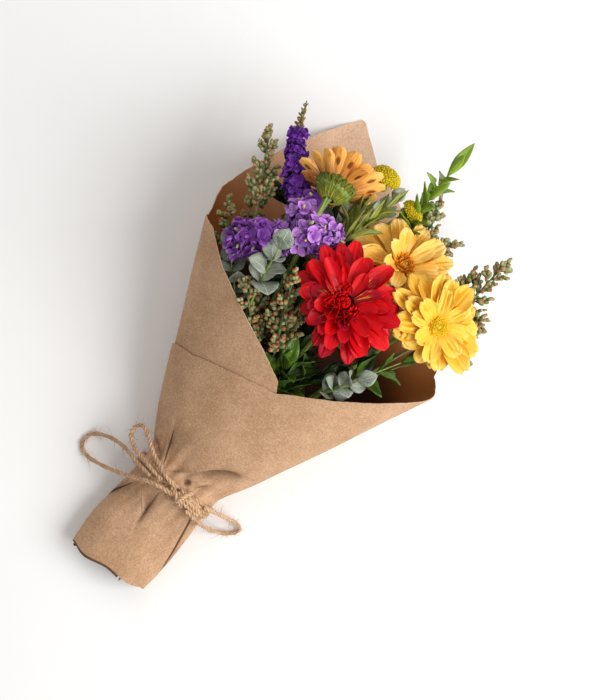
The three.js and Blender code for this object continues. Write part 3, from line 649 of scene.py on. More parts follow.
MAUVE = PetalFinish(
    "mauve_floret", (0.4, 0.26, 0.4), (0.24, 0.06, 0.4), (0.4, 0.14, 0.6), (0.08, 0.014, 0.17),
    (0.66, 0.42, 0.82), streaks=0.45, vary=0.9, root_end=0.3, veins=5.0,
)
VIOLET = PetalFinish(
    "violet_floret", (0.32, 0.2, 0.36), (0.19, 0.035, 0.42), (0.3, 0.08, 0.62), (0.07, 0.012, 0.19),
    (0.6, 0.36, 0.8), streaks=0.4, vary=0.85, root_end=0.25, veins=5.0,
)
BRACT = PetalFinish(
    "bract", (0.34, 0.35, 0.05), (0.15, 0.175, 0.012), (0.03, 0.05, 0.004), (0.035, 0.055, 0.004),
    (0.66, 0.6, 0.11), streaks=0.85, vary=0.5, root_end=0.4, tip_start=0.6, veins=3.0, relief=0.0008,
)
# Leaves: name, light, dark, rib, roughness.
SILVER = LeafFinish(
    "silver_leaf", (0.33, 0.37, 0.3), (0.15, 0.19, 0.14), (0.5, 0.56, 0.42), 0.6, bloom=0.25,
)
FRESH = LeafFinish(
    "fresh_leaf", (0.22, 0.36, 0.02), (0.09, 0.2, 0.012), (0.42, 0.54, 0.12), 0.45, coat=0.05,
)
LIME = LeafFinish(
    "lime_leaf", (0.31, 0.35, 0.05), (0.09, 0.14, 0.02), (0.56, 0.55, 0.2), 0.5, rib_width=0.1,
)
# Dark leaves get painted shade where they lie low in the wrap.
DARK = LeafFinish(
    "dark_leaf", (0.1, 0.21, 0.014), (0.008, 0.026, 0.003), (0.22, 0.36, 0.05), 0.36, coat=0.3,
    shaded=(0.088, 0.13),
)
# Stems: name, light, dark, roughness, gloss.
GREEN_STEM = StemFinish("green_stem", (0.28, 0.36, 0.07), (0.1, 0.17, 0.025))
RED_STEM = StemFinish("red_stem", (0.26, 0.03, 0.03), (0.1, 0.02, 0.015))
TWIG = StemFinish("twig", (0.22, 0.25, 0.09), (0.09, 0.12, 0.035))
DISC = StemFinish("disc", (0.05, 0.004, 0.003), (0.01, 0.001, 0.001), 0.95, 0.02)
CUP = StemFinish("cup", (0.14, 0.2, 0.03), (0.05, 0.09, 0.01))
# Buds: name, green, pale, tip, where the tip starts.
OLIVE_BUD = BudFinish("olive_bud", (0.075, 0.09, 0.026), (0.39, 0.41, 0.19), (0.42, 0.03, 0.014), 0.7)
SPIKE_BUD = BudFinish("spike_bud", (0.12, 0.13, 0.035), (0.34, 0.28, 0.11), (0.3, 0.03, 0.1), 0.6)
PALE_BUD = BudFinish("pale_bud", (0.3, 0.28, 0.1), (0.62, 0.58, 0.32), (0.5, 0.3, 0.4))


def paint(piece: Piece, *finishes: Finish) -> None:
    """Gives a piece its finishes, in place of what it had."""
    piece.data.materials.clear()
    for finish in finishes:
        piece.data.materials.append(finish.material())


# Modelling by hand.
def deselect() -> None:
    """Leaves nothing selected."""
    if bpy.context.mode != "OBJECT":
        bpy.ops.object.mode_set(mode="OBJECT")
    bpy.ops.object.select_all(action="DESELECT")


def make_active(piece: Piece) -> None:
    """Selects one object alone."""
    deselect()
    piece.select_set(True)
    bpy.context.view_layer.objects.active = piece


def pick(piece: Piece, test: Test) -> None:
    """Selects the points of the piece in edit mode whose place passes the test."""
    mesh = bmesh.from_edit_mesh(piece.data)
    for vertex in mesh.verts:
        vertex.select_set(test(vertex.co))
    mesh.select_flush_mode()
    bmesh.update_edit_mesh(piece.data)


def apply_modifier(piece: Piece, kind: str, **settings: object) -> None:
    """Adds a modifier, sets it and applies it."""
    make_active(piece)
    made = piece.modifiers.new(kind.lower(), kind)
    for key, value in settings.items():
        setattr(made, key, value)
    bpy.ops.object.modifier_apply(modifier=made.name)


def join(parts: list[Piece]) -> Piece:
    """Joins meshes into one piece."""
    deselect()
    for part in parts:
        part.select_set(True)
    bpy.context.view_layer.objects.active = parts[0]
    if len(parts) > 1:
        bpy.ops.object.join()
    return parts[0]


def reshape(piece: Piece, moves: list[tuple[Test, Triple]], **pivot: Triple) -> None:
    """Scales points of the active piece in edit mode.

    Args:
        piece: the piece.
        moves: for each pick, its test and how far it is scaled.
        pivot: what the scaling keeps in place, if it isn't the middle of the pick.
    """
    bpy.ops.object.mode_set(mode="EDIT")
    for test, value in moves:
        pick(piece, test)
        bpy.ops.transform.resize(value=value, **pivot)
    bpy.ops.object.mode_set(mode="OBJECT")


def linked(name: str, data: bpy.types.ID) -> Piece:
    """A new object in the scene that holds the data."""
    made = bpy.data.objects.new(name, data)
    bpy.context.scene.collection.objects.link(made)
    return made


def unit(value: float) -> float:
    """The value, held between 0 and 1."""
    return min(max(value, 0.0), 1.0)


def eased(share: float) -> float:
    """A share from 0 to 1 that starts and ends gently."""
    return share * share * (3 - 2 * share)


def ray(angle: float, rise: float = 0.0) -> Vector:
    """A way out from +Z at an angle round it."""
    return Vector((math.cos(angle), math.sin(angle), rise))


def on_ball(i: int, count: int, depth: float) -> Vector:
    """One of many evenly spread ways out of a ball, from its top down by a depth."""
    height = 1.0 - depth * (i + 0.5) / count
    flat = math.sqrt(1.0 - height * height)
    return Vector((flat * math.cos(i * GOLDEN), flat * math.sin(i * GOLDEN), height))


def nudged(way: Vector, draw: Draw, reach: float) -> Vector:
    """A heading, moved a little at random."""
    return (way + Vector([draw.uniform(-reach, reach) for _ in range(3)])).normalized()


def smooth_line(points: list[Vector], steps: int, closed: bool = False) -> list[Vector]:
    """A smooth line through points.

    Args:
        points: what the line passes through.
        steps: stretches between two points.
        closed: whether the line runs back to its start.

    Returns:
        The line's points.
    """
    count = len(points)
    line = []
    spans = count if closed else count - 1
    for i in range(spans):
        if closed:
            a, b, c, d = (points[(i + k) % count] for k in (-1, 0, 1, 2))
        else:
            a, b, c, d = (points[min(max(i + k, 0), count - 1)] for k in (-1, 0, 1, 2))
        slope = c - a
        bend = 2 * a - 5 * b + 4 * c - d
        twist = 3 * b - a - 3 * c + d
        for k in range(steps):
            t = k / steps
            line.append(0.5 * (2 * b + slope * t + bend * t * t + twist * t ** 3))
    if not closed:
        line.append(points[-1].copy())
    return line


def stand(origin: Vector, along: Vector, face: Vector) -> Matrix:
    """A frame whose Y runs along a piece and whose Z is the way its face looks."""
    y = along.normalized()
    x = y.cross(face).normalized()
    z = x.cross(y)
    made = Matrix((x, y, z)).transposed().to_4x4()
    made.translation = origin
    return made


def side_of(way: Vector) -> Vector:
    """A heading square to the one given."""
    side = ACROSS.cross(way)
    return side.normalized() if side.length > 1e-6 else FORWARD.copy()


def turned(vector: Vector, axis: Vector, angle: float) -> Vector:
    """The vector turned about an axis."""
    return Matrix.Rotation(angle, 3, axis) @ vector


def leaning(angle: float) -> Matrix:
    """Lifts a blade's tip by an angle."""
    return Matrix.Rotation(angle, 4, "X")


def sized(half: float, length: float) -> Matrix:
    """Scales a unit blade."""
    return Matrix.Diagonal((half, length, length, 1.0))


def plump(wide: float, length: float) -> Matrix:
    """Scales a bud, by one value along it and by another square to it."""
    return Matrix.Diagonal((wide, length, wide, 1.0))


# A blade's least half width and least curl.
THINNEST = 0.02
FLAT = 1e-3
# The depth of a full ruffle and of a full pleat, and how fast a ruffle waves along and across.
RUFFLE = 0.3
PLEAT = 0.09
WAVES = 9.0
SKEW = 3.0
# The depth and half width of a full notch at the tip, and how much a full roll narrows a petal.
NOTCH = 0.12
NOTCH_HALF = 0.25
NARROWING = 0.25


@dataclass(frozen=True)
class Blade:
    """A petal or leaf, one long and up to two wide, with its root at the origin and its tip on +Y."""

    finish: Finish
    outline: tuple[float, ...]
    slim: float = 0.2
    curl: float = 0.0
    cup: float = 0.0
    roll: float = 0.0
    ruffle: float = 0.0
    pleat: float = 0.0
    notch: float = 0.0
    columns: int = 4
    thick: float = 0.02

    def model(self) -> Piece:
        """Shapes a grid row by row, bends it and gives it thickness."""
        rows = len(self.outline) - 1
        deselect()
        bpy.ops.mesh.primitive_grid_add(x_subdivisions=self.columns, y_subdivisions=rows, size=2.0)
        piece = bpy.context.object
        moves = []
        for row, half in enumerate(self.outline):
            height = -1.0 + 2.0 * row / rows
            wide = max(half, THINNEST)
            moves.append((lambda place, at=height: abs(place.y - at) < ON_ROW, (wide, 1.0, 1.0)))
        reshape(piece, moves)
        self._bend(piece)
        apply_modifier(piece, "SOLIDIFY", thickness=self.thick, offset=0.0)
        paint(piece, self.finish)
        return piece

    def _bend(self, piece: Piece) -> None:
        """Curls, cups, rolls and ruffles the flat blade."""
        curl = self.curl if abs(self.curl) > FLAT else FLAT
        for vertex in piece.data.vertices:
            x, share = vertex.co.x, (vertex.co.y + 1.0) / 2.0
            angle = curl * share
            y = math.sin(angle) / curl
            z = (1.0 - math.cos(angle)) / curl
            lift = 0.5 * self.cup * x * x
            lift += RUFFLE * self.ruffle * math.sin(WAVES * share + SKEW * x) * abs(x) * share
            lift += PLEAT * self.pleat * math.cos(4.0 * math.pi * x) * min(1.0, 3.0 * share)
            lift += self.roll * abs(x) ** 1.5 * share
            lift *= self.slim
            y -= self.notch * math.exp(-((x / NOTCH_HALF) ** 2)) * share ** 6 * NOTCH
            x *= 1.0 - NARROWING * abs(self.roll) * share
            vertex.co = Vector((x, y - lift * math.sin(angle), z + lift * math.cos(angle)))


def blades(finish: Finish, outline: tuple[float, ...], *bends: dict, **same: float) -> tuple[Blade, ...]:
    """Blades of one finish and outline, each bent in its own way."""
    return tuple(Blade(finish, outline, **same, **bend) for bend in bends)


# A bud's widths from its root to its tip.
PLUMP = (0.0, 0.62, 1.0, 0.8, 0.0)
LONG = (0.0, 0.8, 1.0, 0.6, 0.0)
FULL = (0.0, 0.9, 1.0, 0.6, 0.0)
GRAIN = (0.0, 0.9, 1.0, 0.75, 0.0)


@dataclass(frozen=True)
class Bud:
    """A plump bud, one long, with its root at the origin and its tip on +Y."""

    finish: Finish
    rings: tuple[float, ...] = PLUMP
    sides: int = 6

    def model(self) -> Piece:
        """Shapes a ball's rings."""
        count = len(self.rings) - 1
        deselect()
        bpy.ops.mesh.primitive_uv_sphere_add(segments=self.sides, ring_count=count, radius=1.0)
        piece = bpy.context.object
        moves = []
        for ring in range(1, count):
            height = -math.cos(math.pi * ring / count)
            share = self.rings[ring] / math.sin(math.pi * ring / count)
            moves.append((lambda place, at=height: abs(place.z - at) < ON_ROW, (share, share, 1.0)))
        reshape(piece, moves)
        piece.data.transform(Matrix.Rotation(-math.pi / 2, 4, "X") @ Matrix.Diagonal((1.0, 1.0, 0.5, 1.0)))
        piece.data.transform(Matrix.Translation((0.0, 0.5, 0.0)))
        paint(piece, self.finish)
        return piece


@dataclass(frozen=True)
class Floret:
    """A small ruffled flower, one in radius, that faces +Z: a ring of petals and a smaller one in it."""

    finish: Finish
    petals: int = 5
    lift: float = 0.35
    half: float = 0.5
    inner: int = 2
    outline: tuple[float, ...] = (0.3, 0.7, 0.95, 1.0, 0.85, 0.3)

    def model(self) -> Piece:
        """Sets petals round the middle."""
        flat = Blade(self.finish, self.outline, 0.4, curl=-0.5, cup=0.5, ruffle=1.2, thick=0.04)
        bent = Blade(self.finish, self.outline, 0.4, curl=0.5, cup=1.1, ruffle=1.2, thick=0.04)
        draw = random.Random(5)
        places = []
        for count, lift, size in ((self.petals, self.lift, 1.0), (self.inner, self.lift + 0.55, 0.62)):
            for k in range(count):
                spot = stand(Vector(), ray(math.tau * (k + draw.uniform(-0.2, 0.2)) / count), UP)
                lean = leaning(lift + draw.uniform(-0.3, 0.3))
                wide = self.half * size * draw.uniform(0.8, 1.2)
                places.append((draw.choice((flat, bent)), spot @ lean @ sized(wide, size)))
        return Kit.scatter(places)


class Kit:
    """Models each shape once and sets copies of it, each with its own mesh."""

    masters: dict[Shape, Piece] = {}

    @classmethod
    def master(cls, shape: Shape) -> Piece:
        """The shape's model, made once."""
        if shape not in cls.masters:
            cls.masters[shape] = shape.model()
        return cls.masters[shape]

    @classmethod
    def scatter(cls, places: Copies, draw: Draw | None = None) -> Piece:
        """Sets copies of shapes at places and joins them.

        Args:
            places: each shape with its matrix.
            draw: what gives each copy its tint; None leaves the tint out.

        Returns:
            The joined piece.
        """
        parts = []
        for shape, matrix in places:
            mesh = cls.master(shape).data.copy()
            mesh.transform(matrix)
            if draw:
                tint = draw.random()
                held = mesh.attributes.new(TINT, "FLOAT", "POINT")
                held.data.foreach_set("value", [tint] * len(mesh.vertices))
            parts.append(linked("copy", mesh))
        return join(parts)

    @classmethod
    def clear(cls) -> None:
        """Removes the models that the copies came from."""
        for piece in cls.masters.values():
            bpy.data.objects.remove(piece)
        cls.masters.clear()


def tubes(lines: list[Strand], finish: Finish, sides: int = 1) -> Piece:
    """Round strands of changing radius.

    Args:
        lines: each strand's points and radii.
        finish: their finish.
        sides: the bevel's resolution.

    Returns:
        All strands as one mesh.
    """
    curve = bpy.data.curves.new("strands", "CURVE")
    curve.dimensions = "3D"
    curve.bevel_depth = 1.0
    curve.bevel_resolution = sides
    curve.use_fill_caps = True
    for line in lines:
        spline = curve.splines.new("POLY")
        spline.points.add(len(line) - 1)
        for point, (place, radius) in zip(spline.points, line):
            point.co = (*place, 1.0)
            point.radius = radius
    make_active(linked("strands", curve))
    bpy.ops.object.convert(target="MESH")
    piece = bpy.context.object
    paint(piece, finish)
    return piece


def grown_stem(
    node: str, finish: Finish, cut: Vector | None = None, heading: Vector | None = None,
) -> Piece:
    """A rounded copy of a solid stem, kept up to a cut.

    Args:
        node: the solid's name.
        finish: the stem's finish.
        cut: where the finer top begins, or None to keep it all.
        heading: which way the stem runs there.

    Returns:
        The stem.
    """
    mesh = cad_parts[node].data.copy()
    mesh.transform(TO_ROW.inverted())
    piece = linked(node + "_copy", mesh)
    make_active(piece)
    bpy.ops.object.mode_set(mode="EDIT")
    bpy.ops.mesh.select_all(action="SELECT")
    bpy.ops.mesh.remove_doubles(threshold=0.01)
    if cut is not None:
        bpy.ops.mesh.select_all(action="SELECT")
        bpy.ops.mesh.bisect(plane_co=cut, plane_no=heading, clear_outer=True, use_fill=True)
    bpy.ops.object.mode_set(mode="OBJECT")
    apply_modifier(piece, "SUBSURF", levels=1, render_levels=1)
    paint(piece, finish)
    return piece


def settle(
    piece: Piece, node: str, name: str | None = None, angle: float = SMOOTH, held: bool = False,
) -> Piece:
    """Puts a finished piece in its place in the row frame, for the solid that it stands for.

    Args:
        piece: the piece, in millimetres from the tie.
        node: the solid.
        name: the piece's name, if it isn't the solid's.
        angle: the widest angle in degrees that is shaded smooth.
        held: whether the paper holds it in.

    Returns:
        The piece.
    """
    make_active(piece)
    if held:
        WRAP.hold(piece.data)
    piece.data.transform(TO_ROW)
    bpy.ops.object.shade_smooth_by_angle(angle=math.radians(angle))
    piece.name = name or "fine_" + node
    piece.data.name = piece.name
    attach(piece, BODY)
    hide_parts(node)
    top = max(vertex.co.z for vertex in piece.data.vertices)
    LOG.info("%s: %d faces, %.1f mm high", piece.name, len(piece.data.polygons), top / MM)
    return piece


def bare_stem(flower: str) -> None:
    """Puts in a flower's stem as the solid has it, with rounded edges."""
    node = f"{flower}_stem"
    settle(grown_stem(node, GREEN_STEM), node, angle=FIRM)


# The paper wrap.
@dataclass(frozen=True)
class Crease:
    """A fold in the paper's front, along a line seen from above, with painted shade along it; its
    right-hand side lies lower.
    """

    line: tuple[Pair, ...]
    drop: float
    fade: float
    swell: float = 0.4
    shade: float = 0.8
    shade_reach: float = 1.6
    under: float = 0.25
    ramp: float = 1.7

    def near(self, x: float, y: float) -> Triple:
        """The distance to the line, the side (1 for the right-hand one) and the share along it."""
        best = (math.inf, 1.0, 0.0)
        count = len(self.line) - 1
        for k, ((ax, ay), (bx, by)) in enumerate(zip(self.line, self.line[1:])):
            dx, dy = bx - ax, by - ay
            share = ((x - ax) * dx + (y - ay) * dy) / (dx * dx + dy * dy)
            held = unit(share)
            gap = math.hypot(x - ax - held * dx, y - ay - held * dy)
            if gap < best[0]:
                best = (gap, math.copysign(1.0, (x - ax) * dy - (y - ay) * dx), (k + held) / count)
        return best

    def effect(self, x: float, y: float) -> Pair:
        """How far the fold moves the paper out, and how much shade it paints on it."""
        gap, side, share = self.near(x, y)
        taper = math.sin(math.pi * (0.04 + 0.92 * share)) ** 0.5
        fall = math.exp(-((gap / self.fade) ** 2))
        level = (self.swell - 1.0) / 2
        level += math.copysign(self.swell + 1.0, -side) / 2 * min(gap / self.ramp, 1.0)
        out = self.drop * taper * fall * level
        wide = self.shade_reach if side > 0 else 0.7 * self.shade_reach
        dark = self.shade * taper * math.exp(-((gap / wide) ** 2))
        if side > 0:
            dark += self.under * self.shade * taper * math.exp(-((gap / (0.6 * self.fade)) ** 2))
        return out, dark


# The cone's sections: y, half width, half height, height of the middle.
SECTIONS = (
    (-110, 38, 17, 15),
    (-70, 41, 19, 17),
    (-40, 39, 20, 19),
    (-12, 36.5, 22, 29),
    (0, 36, 22.5, 32),
    (12, 38, 24.5, 30),
    (45, 57.5, 37, 34),
    (210, 132, 88, 80),
    (400, 218, 147, 134),
)
# The paper's rim: degrees round the cone from the under flap to the front flap, y.
RIM = (
    (70, 104), (81.4, 132.6), (102, 149.6), (118.6, 162.8), (137.7, 179.5), (154.3, 199.4),
    (174, 205), (187, 207), (191.8, 214), (194.5, 226), (198, 235), (205.5, 247), (219.3, 276),
    (234.5, 323), (247.7, 371.5), (249, 371.5), (251.7, 364), (258.3, 347), (262, 344), (280, 318),
    (300, 285), (326.3, 240), (333, 227), (345, 218), (357, 211), (368, 203.5), (378, 195.5),
    (387, 186.5), (403.1, 165.3), (415.1, 149.8), (427.8, 135.5), (438.9, 122.8), (461.4, 113.8),
    (493.9, 101.2), (536.9, 95.6), (560, 91),
)
# The creases: line, drop, fade, swell, painted shade, reach of the painted shade, painted shade under the
# bulge.
CREASES = (
    Crease(((-19.9, 7.4), (-26.8, 22.4), (-34.2, 38)), 2.6, 9.0, 0.7, 0.4, 3.2, 0.0),
    Crease(
        ((8, 16.5), (10.3, 23), (17.2, 32), (25.3, 39.3), (33.5, 43.7), (39.7, 45)),
        4.4, 17.0, 0.15, 0.12, 3.0, 1.0,
    ),
    Crease(((14.6, 7.6), (18.5, 12.5), (23.4, 16.7)), 2.4, 6.0, 0.5, 0.6),
    # A broad painted shade on the neck, with no fold in the paper.
    Crease(((-30, 24), (-14, 46)), 0.0, 10.0, 0.0, 0.22, 12.0, 0.0),
    Crease(((-46.4, -58), (-38, -41), (-30.6, -27)), 2.4, 6.0, 0.5, 0.4, 3.0, 0.1),
    Crease(((-4.5, -54), (-7, -40), (-13, -30), (-22, -22)), 3.4, 9.0, 0.6, 0.4, 2.4),
    Crease(((-6, -19), (-5.4, -34), (-3.8, -54)), 1.8, 7.0, 0.9, 0.3, 2.0),
    Crease(((39.4, -78), (35.6, -50), (28.4, -17)), 3.4, 7.0, 0.3, 0.5, 2.6, 0.9),
    Crease(((-44, 22), (-36, 18), (-28, 12)), 1.6, 6.0, 0.5, 0.35),
    Crease(((2, 17), (-6, 9), (-14, 2)), 2.0, 8.0, 0.5, 0.4),
)


@dataclass
class Wrap:
    """One sheet of kraft paper, rolled into a cone, drawn in at the tie and flat where it lies."""

    paper: float = 0.8
    layer_step: float = 2.4
    pleats: int = 9
    pleat_depth: float = 1.2
    pleat_reach: float = 34.0
    crinkle: Triple = (0.7, 23.0, 0.09)
    dent: float = 0.55
    tail_dent: float = 0.9
    dent_at: float = -45.0
    dent_reach: float = 70.0
    drift: float = -0.025
    tail_end: float = -103.5
    tail_slant: float = 0.1
    tail_wave: float = 1.6
    tail_lip: float = 2.6
    column: float = 1.7
    low_rows: int = 96
    high_rows: int = 40
    mouth: float = 60.0
    wall: float = 1.6
    flap_start: float = 345.0
    flap_run: float = 80.0
    under_flap: float = 200.0
    # Painted shade on the under flap's lip at the tail, and how many rows it covers.
    lip_shade: float = 0.75
    lip_rows: int = 3
    # A dimple for a small hole, with painted shade in it: its place, reach, depth and shade.
    hole: Pair = (6.8, 7.2)
    hole_reach: float = 3.7
    hole_depth: float = 3.0
    hole_shade: float = 0.9

    def section(self, y: float) -> Triple:
        """The cone's half width, half height and middle height at a place along it."""
        rows = SECTIONS
        i = 0
        while i < len(rows) - 2 and y > rows[i + 1][0]:
            i += 1
        before, low, high, after = (rows[min(max(k, 0), len(rows) - 1)] for k in (i - 1, i, i + 1, i + 2))
        span = high[0] - low[0]
        t = unit((y - low[0]) / span)
        found = []
        for k in (1, 2, 3):
            slope = (high[k] - low[k]) / span
            start = (high[k] - before[k]) / (high[0] - before[0]) if before is not low else slope
            end = (after[k] - low[k]) / (after[0] - low[0]) if after is not high else slope
            a, b = start * span, end * span
            found.append(
                low[k] * (1 + 2 * t) * (1 - t) ** 2 + a * t * (1 - t) ** 2
                + high[k] * t * t * (3 - 2 * t) - b * t * t * (1 - t)
            )
        return tuple(found)

    def fold(self, x: float, y: float) -> Pair:
        """How far the creases and the hole move the front out, and how much shade is painted there, at a
        place seen from above.
        """
        effects = [crease.effect(x, y) for crease in CREASES]
        # The hole: a dimple with painted shade in it.
        gone = math.hypot(x - self.hole[0], y - self.hole[1]) / self.hole_reach
        effects.append((-self.hole_depth * math.exp(-gone ** 4), self.hole_shade * math.exp(-gone ** 6)))
        return sum(out for out, _ in effects), min(1.0, sum(dark for _, dark in effects))

    def seen(self, degrees: float, y: float) -> float:
        """Where a place round the cone lies across the bouquet, seen from above."""
        return self.drift * max(y, 0.0) + self.section(y)[0] * math.cos(math.radians(degrees))

    def shade(self, degrees: float, y: float) -> float:
        """How much shade the creases and the hole paint on the paper at a place."""
        if math.sin(math.radians(degrees)) <= 0:
            return 0.0
        return self.fold(self.seen(degrees, y), y)[1]

    def height(self, degrees: float) -> float:
        """How far the paper reaches along the bouquet at an angle round the cone."""
        tops = []
        for (low, start), (high, end) in zip(RIM, RIM[1:]):
            for turn in (degrees, degrees + 360.0):
                if low <= turn <= high:
                    tops.append(start + (end - start) * (turn - low) / (high - low))
        return max(tops)

    def lip(self, x: float) -> float:
        """How far the front edge reaches along the bouquet at a place across it."""
        front = [(degrees, y) for degrees, y in RIM if 360.0 <= degrees <= 540.0]
        points = sorted((self.seen(degrees, y), y) for degrees, y in front)
        for (low, start), (high, end) in zip(points, points[1:]):
            if low <= x <= high:
                return start + (end - start) * (x - low) / (high - low)
        return 0.0

    def hold(self, mesh: bpy.types.Mesh) -> None:
        """Presses what would go through the paper's wall back inside it."""
        for vertex in mesh.vertices:
            place = vertex.co
            if place.y < self.mouth:
                continue
            a, b, middle = self.section(place.y)
            x, z = place.x - self.drift * place.y, place.z - middle
            gone = math.hypot(x / (a - self.wall), z / (b - self.wall))
            if gone > 1.0 and place.y < self.height(math.degrees(math.atan2(z / b, x / a)) % 360.0):
                place = Vector((place.x - x + x / gone, place.y, middle + z / gone))
            place.z = max(place.z, self.wall)
            vertex.co = place

    def point(self, degrees: float, y: float) -> Vector:
        """The middle of the paper at an angle round the cone and a place along it."""
        a, b, middle = self.section(y)
        angle = math.radians(degrees)
        share = unit((degrees - self.flap_start) / self.flap_run)
        out = self.layer_step * eased(share)
        # Gathers near the tie.
        near = math.exp(-((y / self.pleat_reach) ** 2))
        out += self.pleat_depth * near * math.cos(self.pleats * angle)
        deep, turns, slant = self.crinkle
        out += deep * near * math.sin(turns * angle + y * slant)
        # Soft dents all over, deeper in the tail.
        soft = self.dent + self.tail_dent * math.exp(-(((y - self.dent_at) / self.dent_reach) ** 2))
        out += soft * 0.5 * math.sin(3.1 * angle + 0.035 * y) * math.sin(0.041 * y + 2.0 * angle)
        out += soft * 0.35 * math.sin(7.0 * angle - 0.05 * y + 1.0)
        # The creases, on the front alone.
        top = math.sin(angle)
        if top > 0:
            out += self.fold(self.seen(degrees, y), y)[0] * min(1.0, 2.5 * top)
        floor = self.paper / 2
        return Vector((
            self.drift * max(y, 0.0) + (a + out) * math.cos(angle),
            y,
            max(middle + (b + out) * math.sin(angle), floor),
        ))

    def columns(self) -> list[Pair]:
        """Degrees and rim of each column, with one at every point of the rim."""
        made = []
        for (low, start), (high, end) in zip(RIM, RIM[1:]):
            parts = math.ceil((high - low) / self.column)
            for k in range(parts):
                made.append((low + (high - low) * k / parts, start + (end - start) * k / parts))
        return [*made, RIM[-1]]

    def _mould(self, mesh: bpy.types.Mesh, columns: list[Pair], rows: int) -> None:
        """Moves a flat grid's points to their places on the paper and notes how much shade is painted on
        each one.

        Args:
            mesh: the grid, two wide and two long.
            columns: the degrees and the rim of each column.
            rows: how many rows of faces the grid has.
        """
        draw = random.Random(11)
        ragged = [draw.uniform(-0.3, 0.3) for _ in columns]
        shades = []
        for vertex in mesh.vertices:
            i = round((vertex.co.x + 1.0) / 2.0 * (len(columns) - 1))
            k = round((vertex.co.y + 1.0) / 2.0 * rows)
            degrees, rim = columns[i]
            under = degrees < self.under_flap
            tail = self.tail_end + self.tail_slant * self.seen(degrees, self.tail_end)
            tail += self.tail_wave * math.sin(math.radians(degrees) * 5.0)
            tail -= self.tail_lip if under else 0.0
            if k <= self.low_rows:
                y = tail + (self.mouth - tail) * k / self.low_rows
            else:
                y = self.mouth + (rim + ragged[i] - self.mouth) * (k - self.low_rows) / self.high_rows
            vertex.co = self.point(degrees, y)
            # The under flap's lip at the tail gets painted shade; elsewhere the creases and the hole paint
            # it.
            lip = under and k < self.lip_rows
            shades.append(self.lip_shade if lip else self.shade(degrees, y))
        mesh.attributes.new(SHADE, "FLOAT", "POINT").data.foreach_set("value", shades)

    def build(self) -> None:
        """Moulds a grid into the wrap and gives it its thickness."""
        columns = self.columns()
        rows = self.low_rows + self.high_rows
        deselect()
        bpy.ops.mesh.primitive_grid_add(x_subdivisions=len(columns) - 1, y_subdivisions=rows, size=2.0)
        piece = bpy.context.object
        self._mould(piece.data, columns, rows)
        make_active(piece)
        bpy.ops.object.mode_set(mode="EDIT")
        bpy.ops.mesh.select_all(action="SELECT")
        bpy.ops.mesh.flip_normals()
        bpy.ops.object.mode_set(mode="OBJECT")
        paint(piece, KRAFT, KRAFT_INSIDE, KRAFT_EDGE)
        apply_modifier(
            piece, "SOLIDIFY", thickness=self.paper, offset=0.0, material_offset=1, material_offset_rim=2,
        )
        settle(piece, "wrap", "kraft_wrap", 70.0)


WRAP = Wrap()


# The twine. Centrelines of the knot's strands, then of the bow's three loops.
KNOT = (
    ((7, -1.4, 62), (12, -1.2, 63.8), (17, -1.8, 63.4), (23, -2.6, 60.8), (28, -3.4, 57.2), (31, -4, 54)),
    ((6, -4.6, 63), (12, -4.8, 65.4), (18, -5, 64.6), (25, -5.8, 60.6), (31, -6.4, 56), (34, -6.8, 53)),
    (
        (6, -8.4, 62), (12, -8.4, 63.8), (18, -8.8, 62.6), (25, -9.6, 58.6), (30, -10, 55.2),
        (33, -10, 52.4),
    ),
    (
        (9, -12.4, 57.6), (10.4, -10.6, 63), (11.6, -6.6, 66.8), (13.6, -1.8, 66.6), (15.6, 1.8, 62.6),
        (17, 3, 57.6),
    ),
    ((-2, -3.6, 62.6), (2, -5, 64.6), (6, -7, 66), (10, -9.4, 64.6), (14, -11.6, 60.6), (17, -12.6, 57)),
)
LOOPS = (
    ("twine_loop_left", (
        (4, -9, 65.4), (-6, -9.8, 65.2), (-19, -13, 62.4), (-30, -18.6, 53.5), (-42, -25.4, 42.5),
        (-55, -31.4, 29.5), (-68.5, -36.5, 16.5), (-80, -39.2, 6.6), (-90, -37.5, 2.5), (-94.6, -29, 2.4),
        (-90, -19, 3.8), (-77, -11.4, 14.4), (-61.5, -7.6, 30), (-48, -7.6, 46), (-35, -8.4, 55.8),
        (-23, -9, 61.8),
    )),
    ("twine_loop_top", (
        (3, -1, 65.5), (-6, -0.8, 65.8), (-15, 1.4, 65), (-24, 4.6, 62), (-33, 7.8, 58),
        (-41.4, 12.4, 53.6), (-50, 17.4, 47.4), (-58, 19.6, 41.2), (-63, 14.6, 38), (-61, 5.6, 40),
        (-52.4, 0.4, 46.4), (-42, -1.4, 53), (-32, -2.6, 58.8), (-22, -4, 62.6), (-12.4, -5.2, 64.8),
    )),
    ("twine_loop_right", (
        (33, -0.8, 56.2), (44.6, 1.6, 48.4), (53, 2.8, 37.6), (60.5, 3.2, 26), (67, 3.2, 14.8),
        (72.6, 0.6, 5.4), (72.2, -5.4, 2.5), (65, -12, 5.4), (56, -15.6, 15.6), (48, -16.8, 27.6),
        (41.4, -16.2, 39.4), (35, -15, 49), (28.6, -13.6, 55.4), (21.4, -12.6, 58.6),
    )),
)


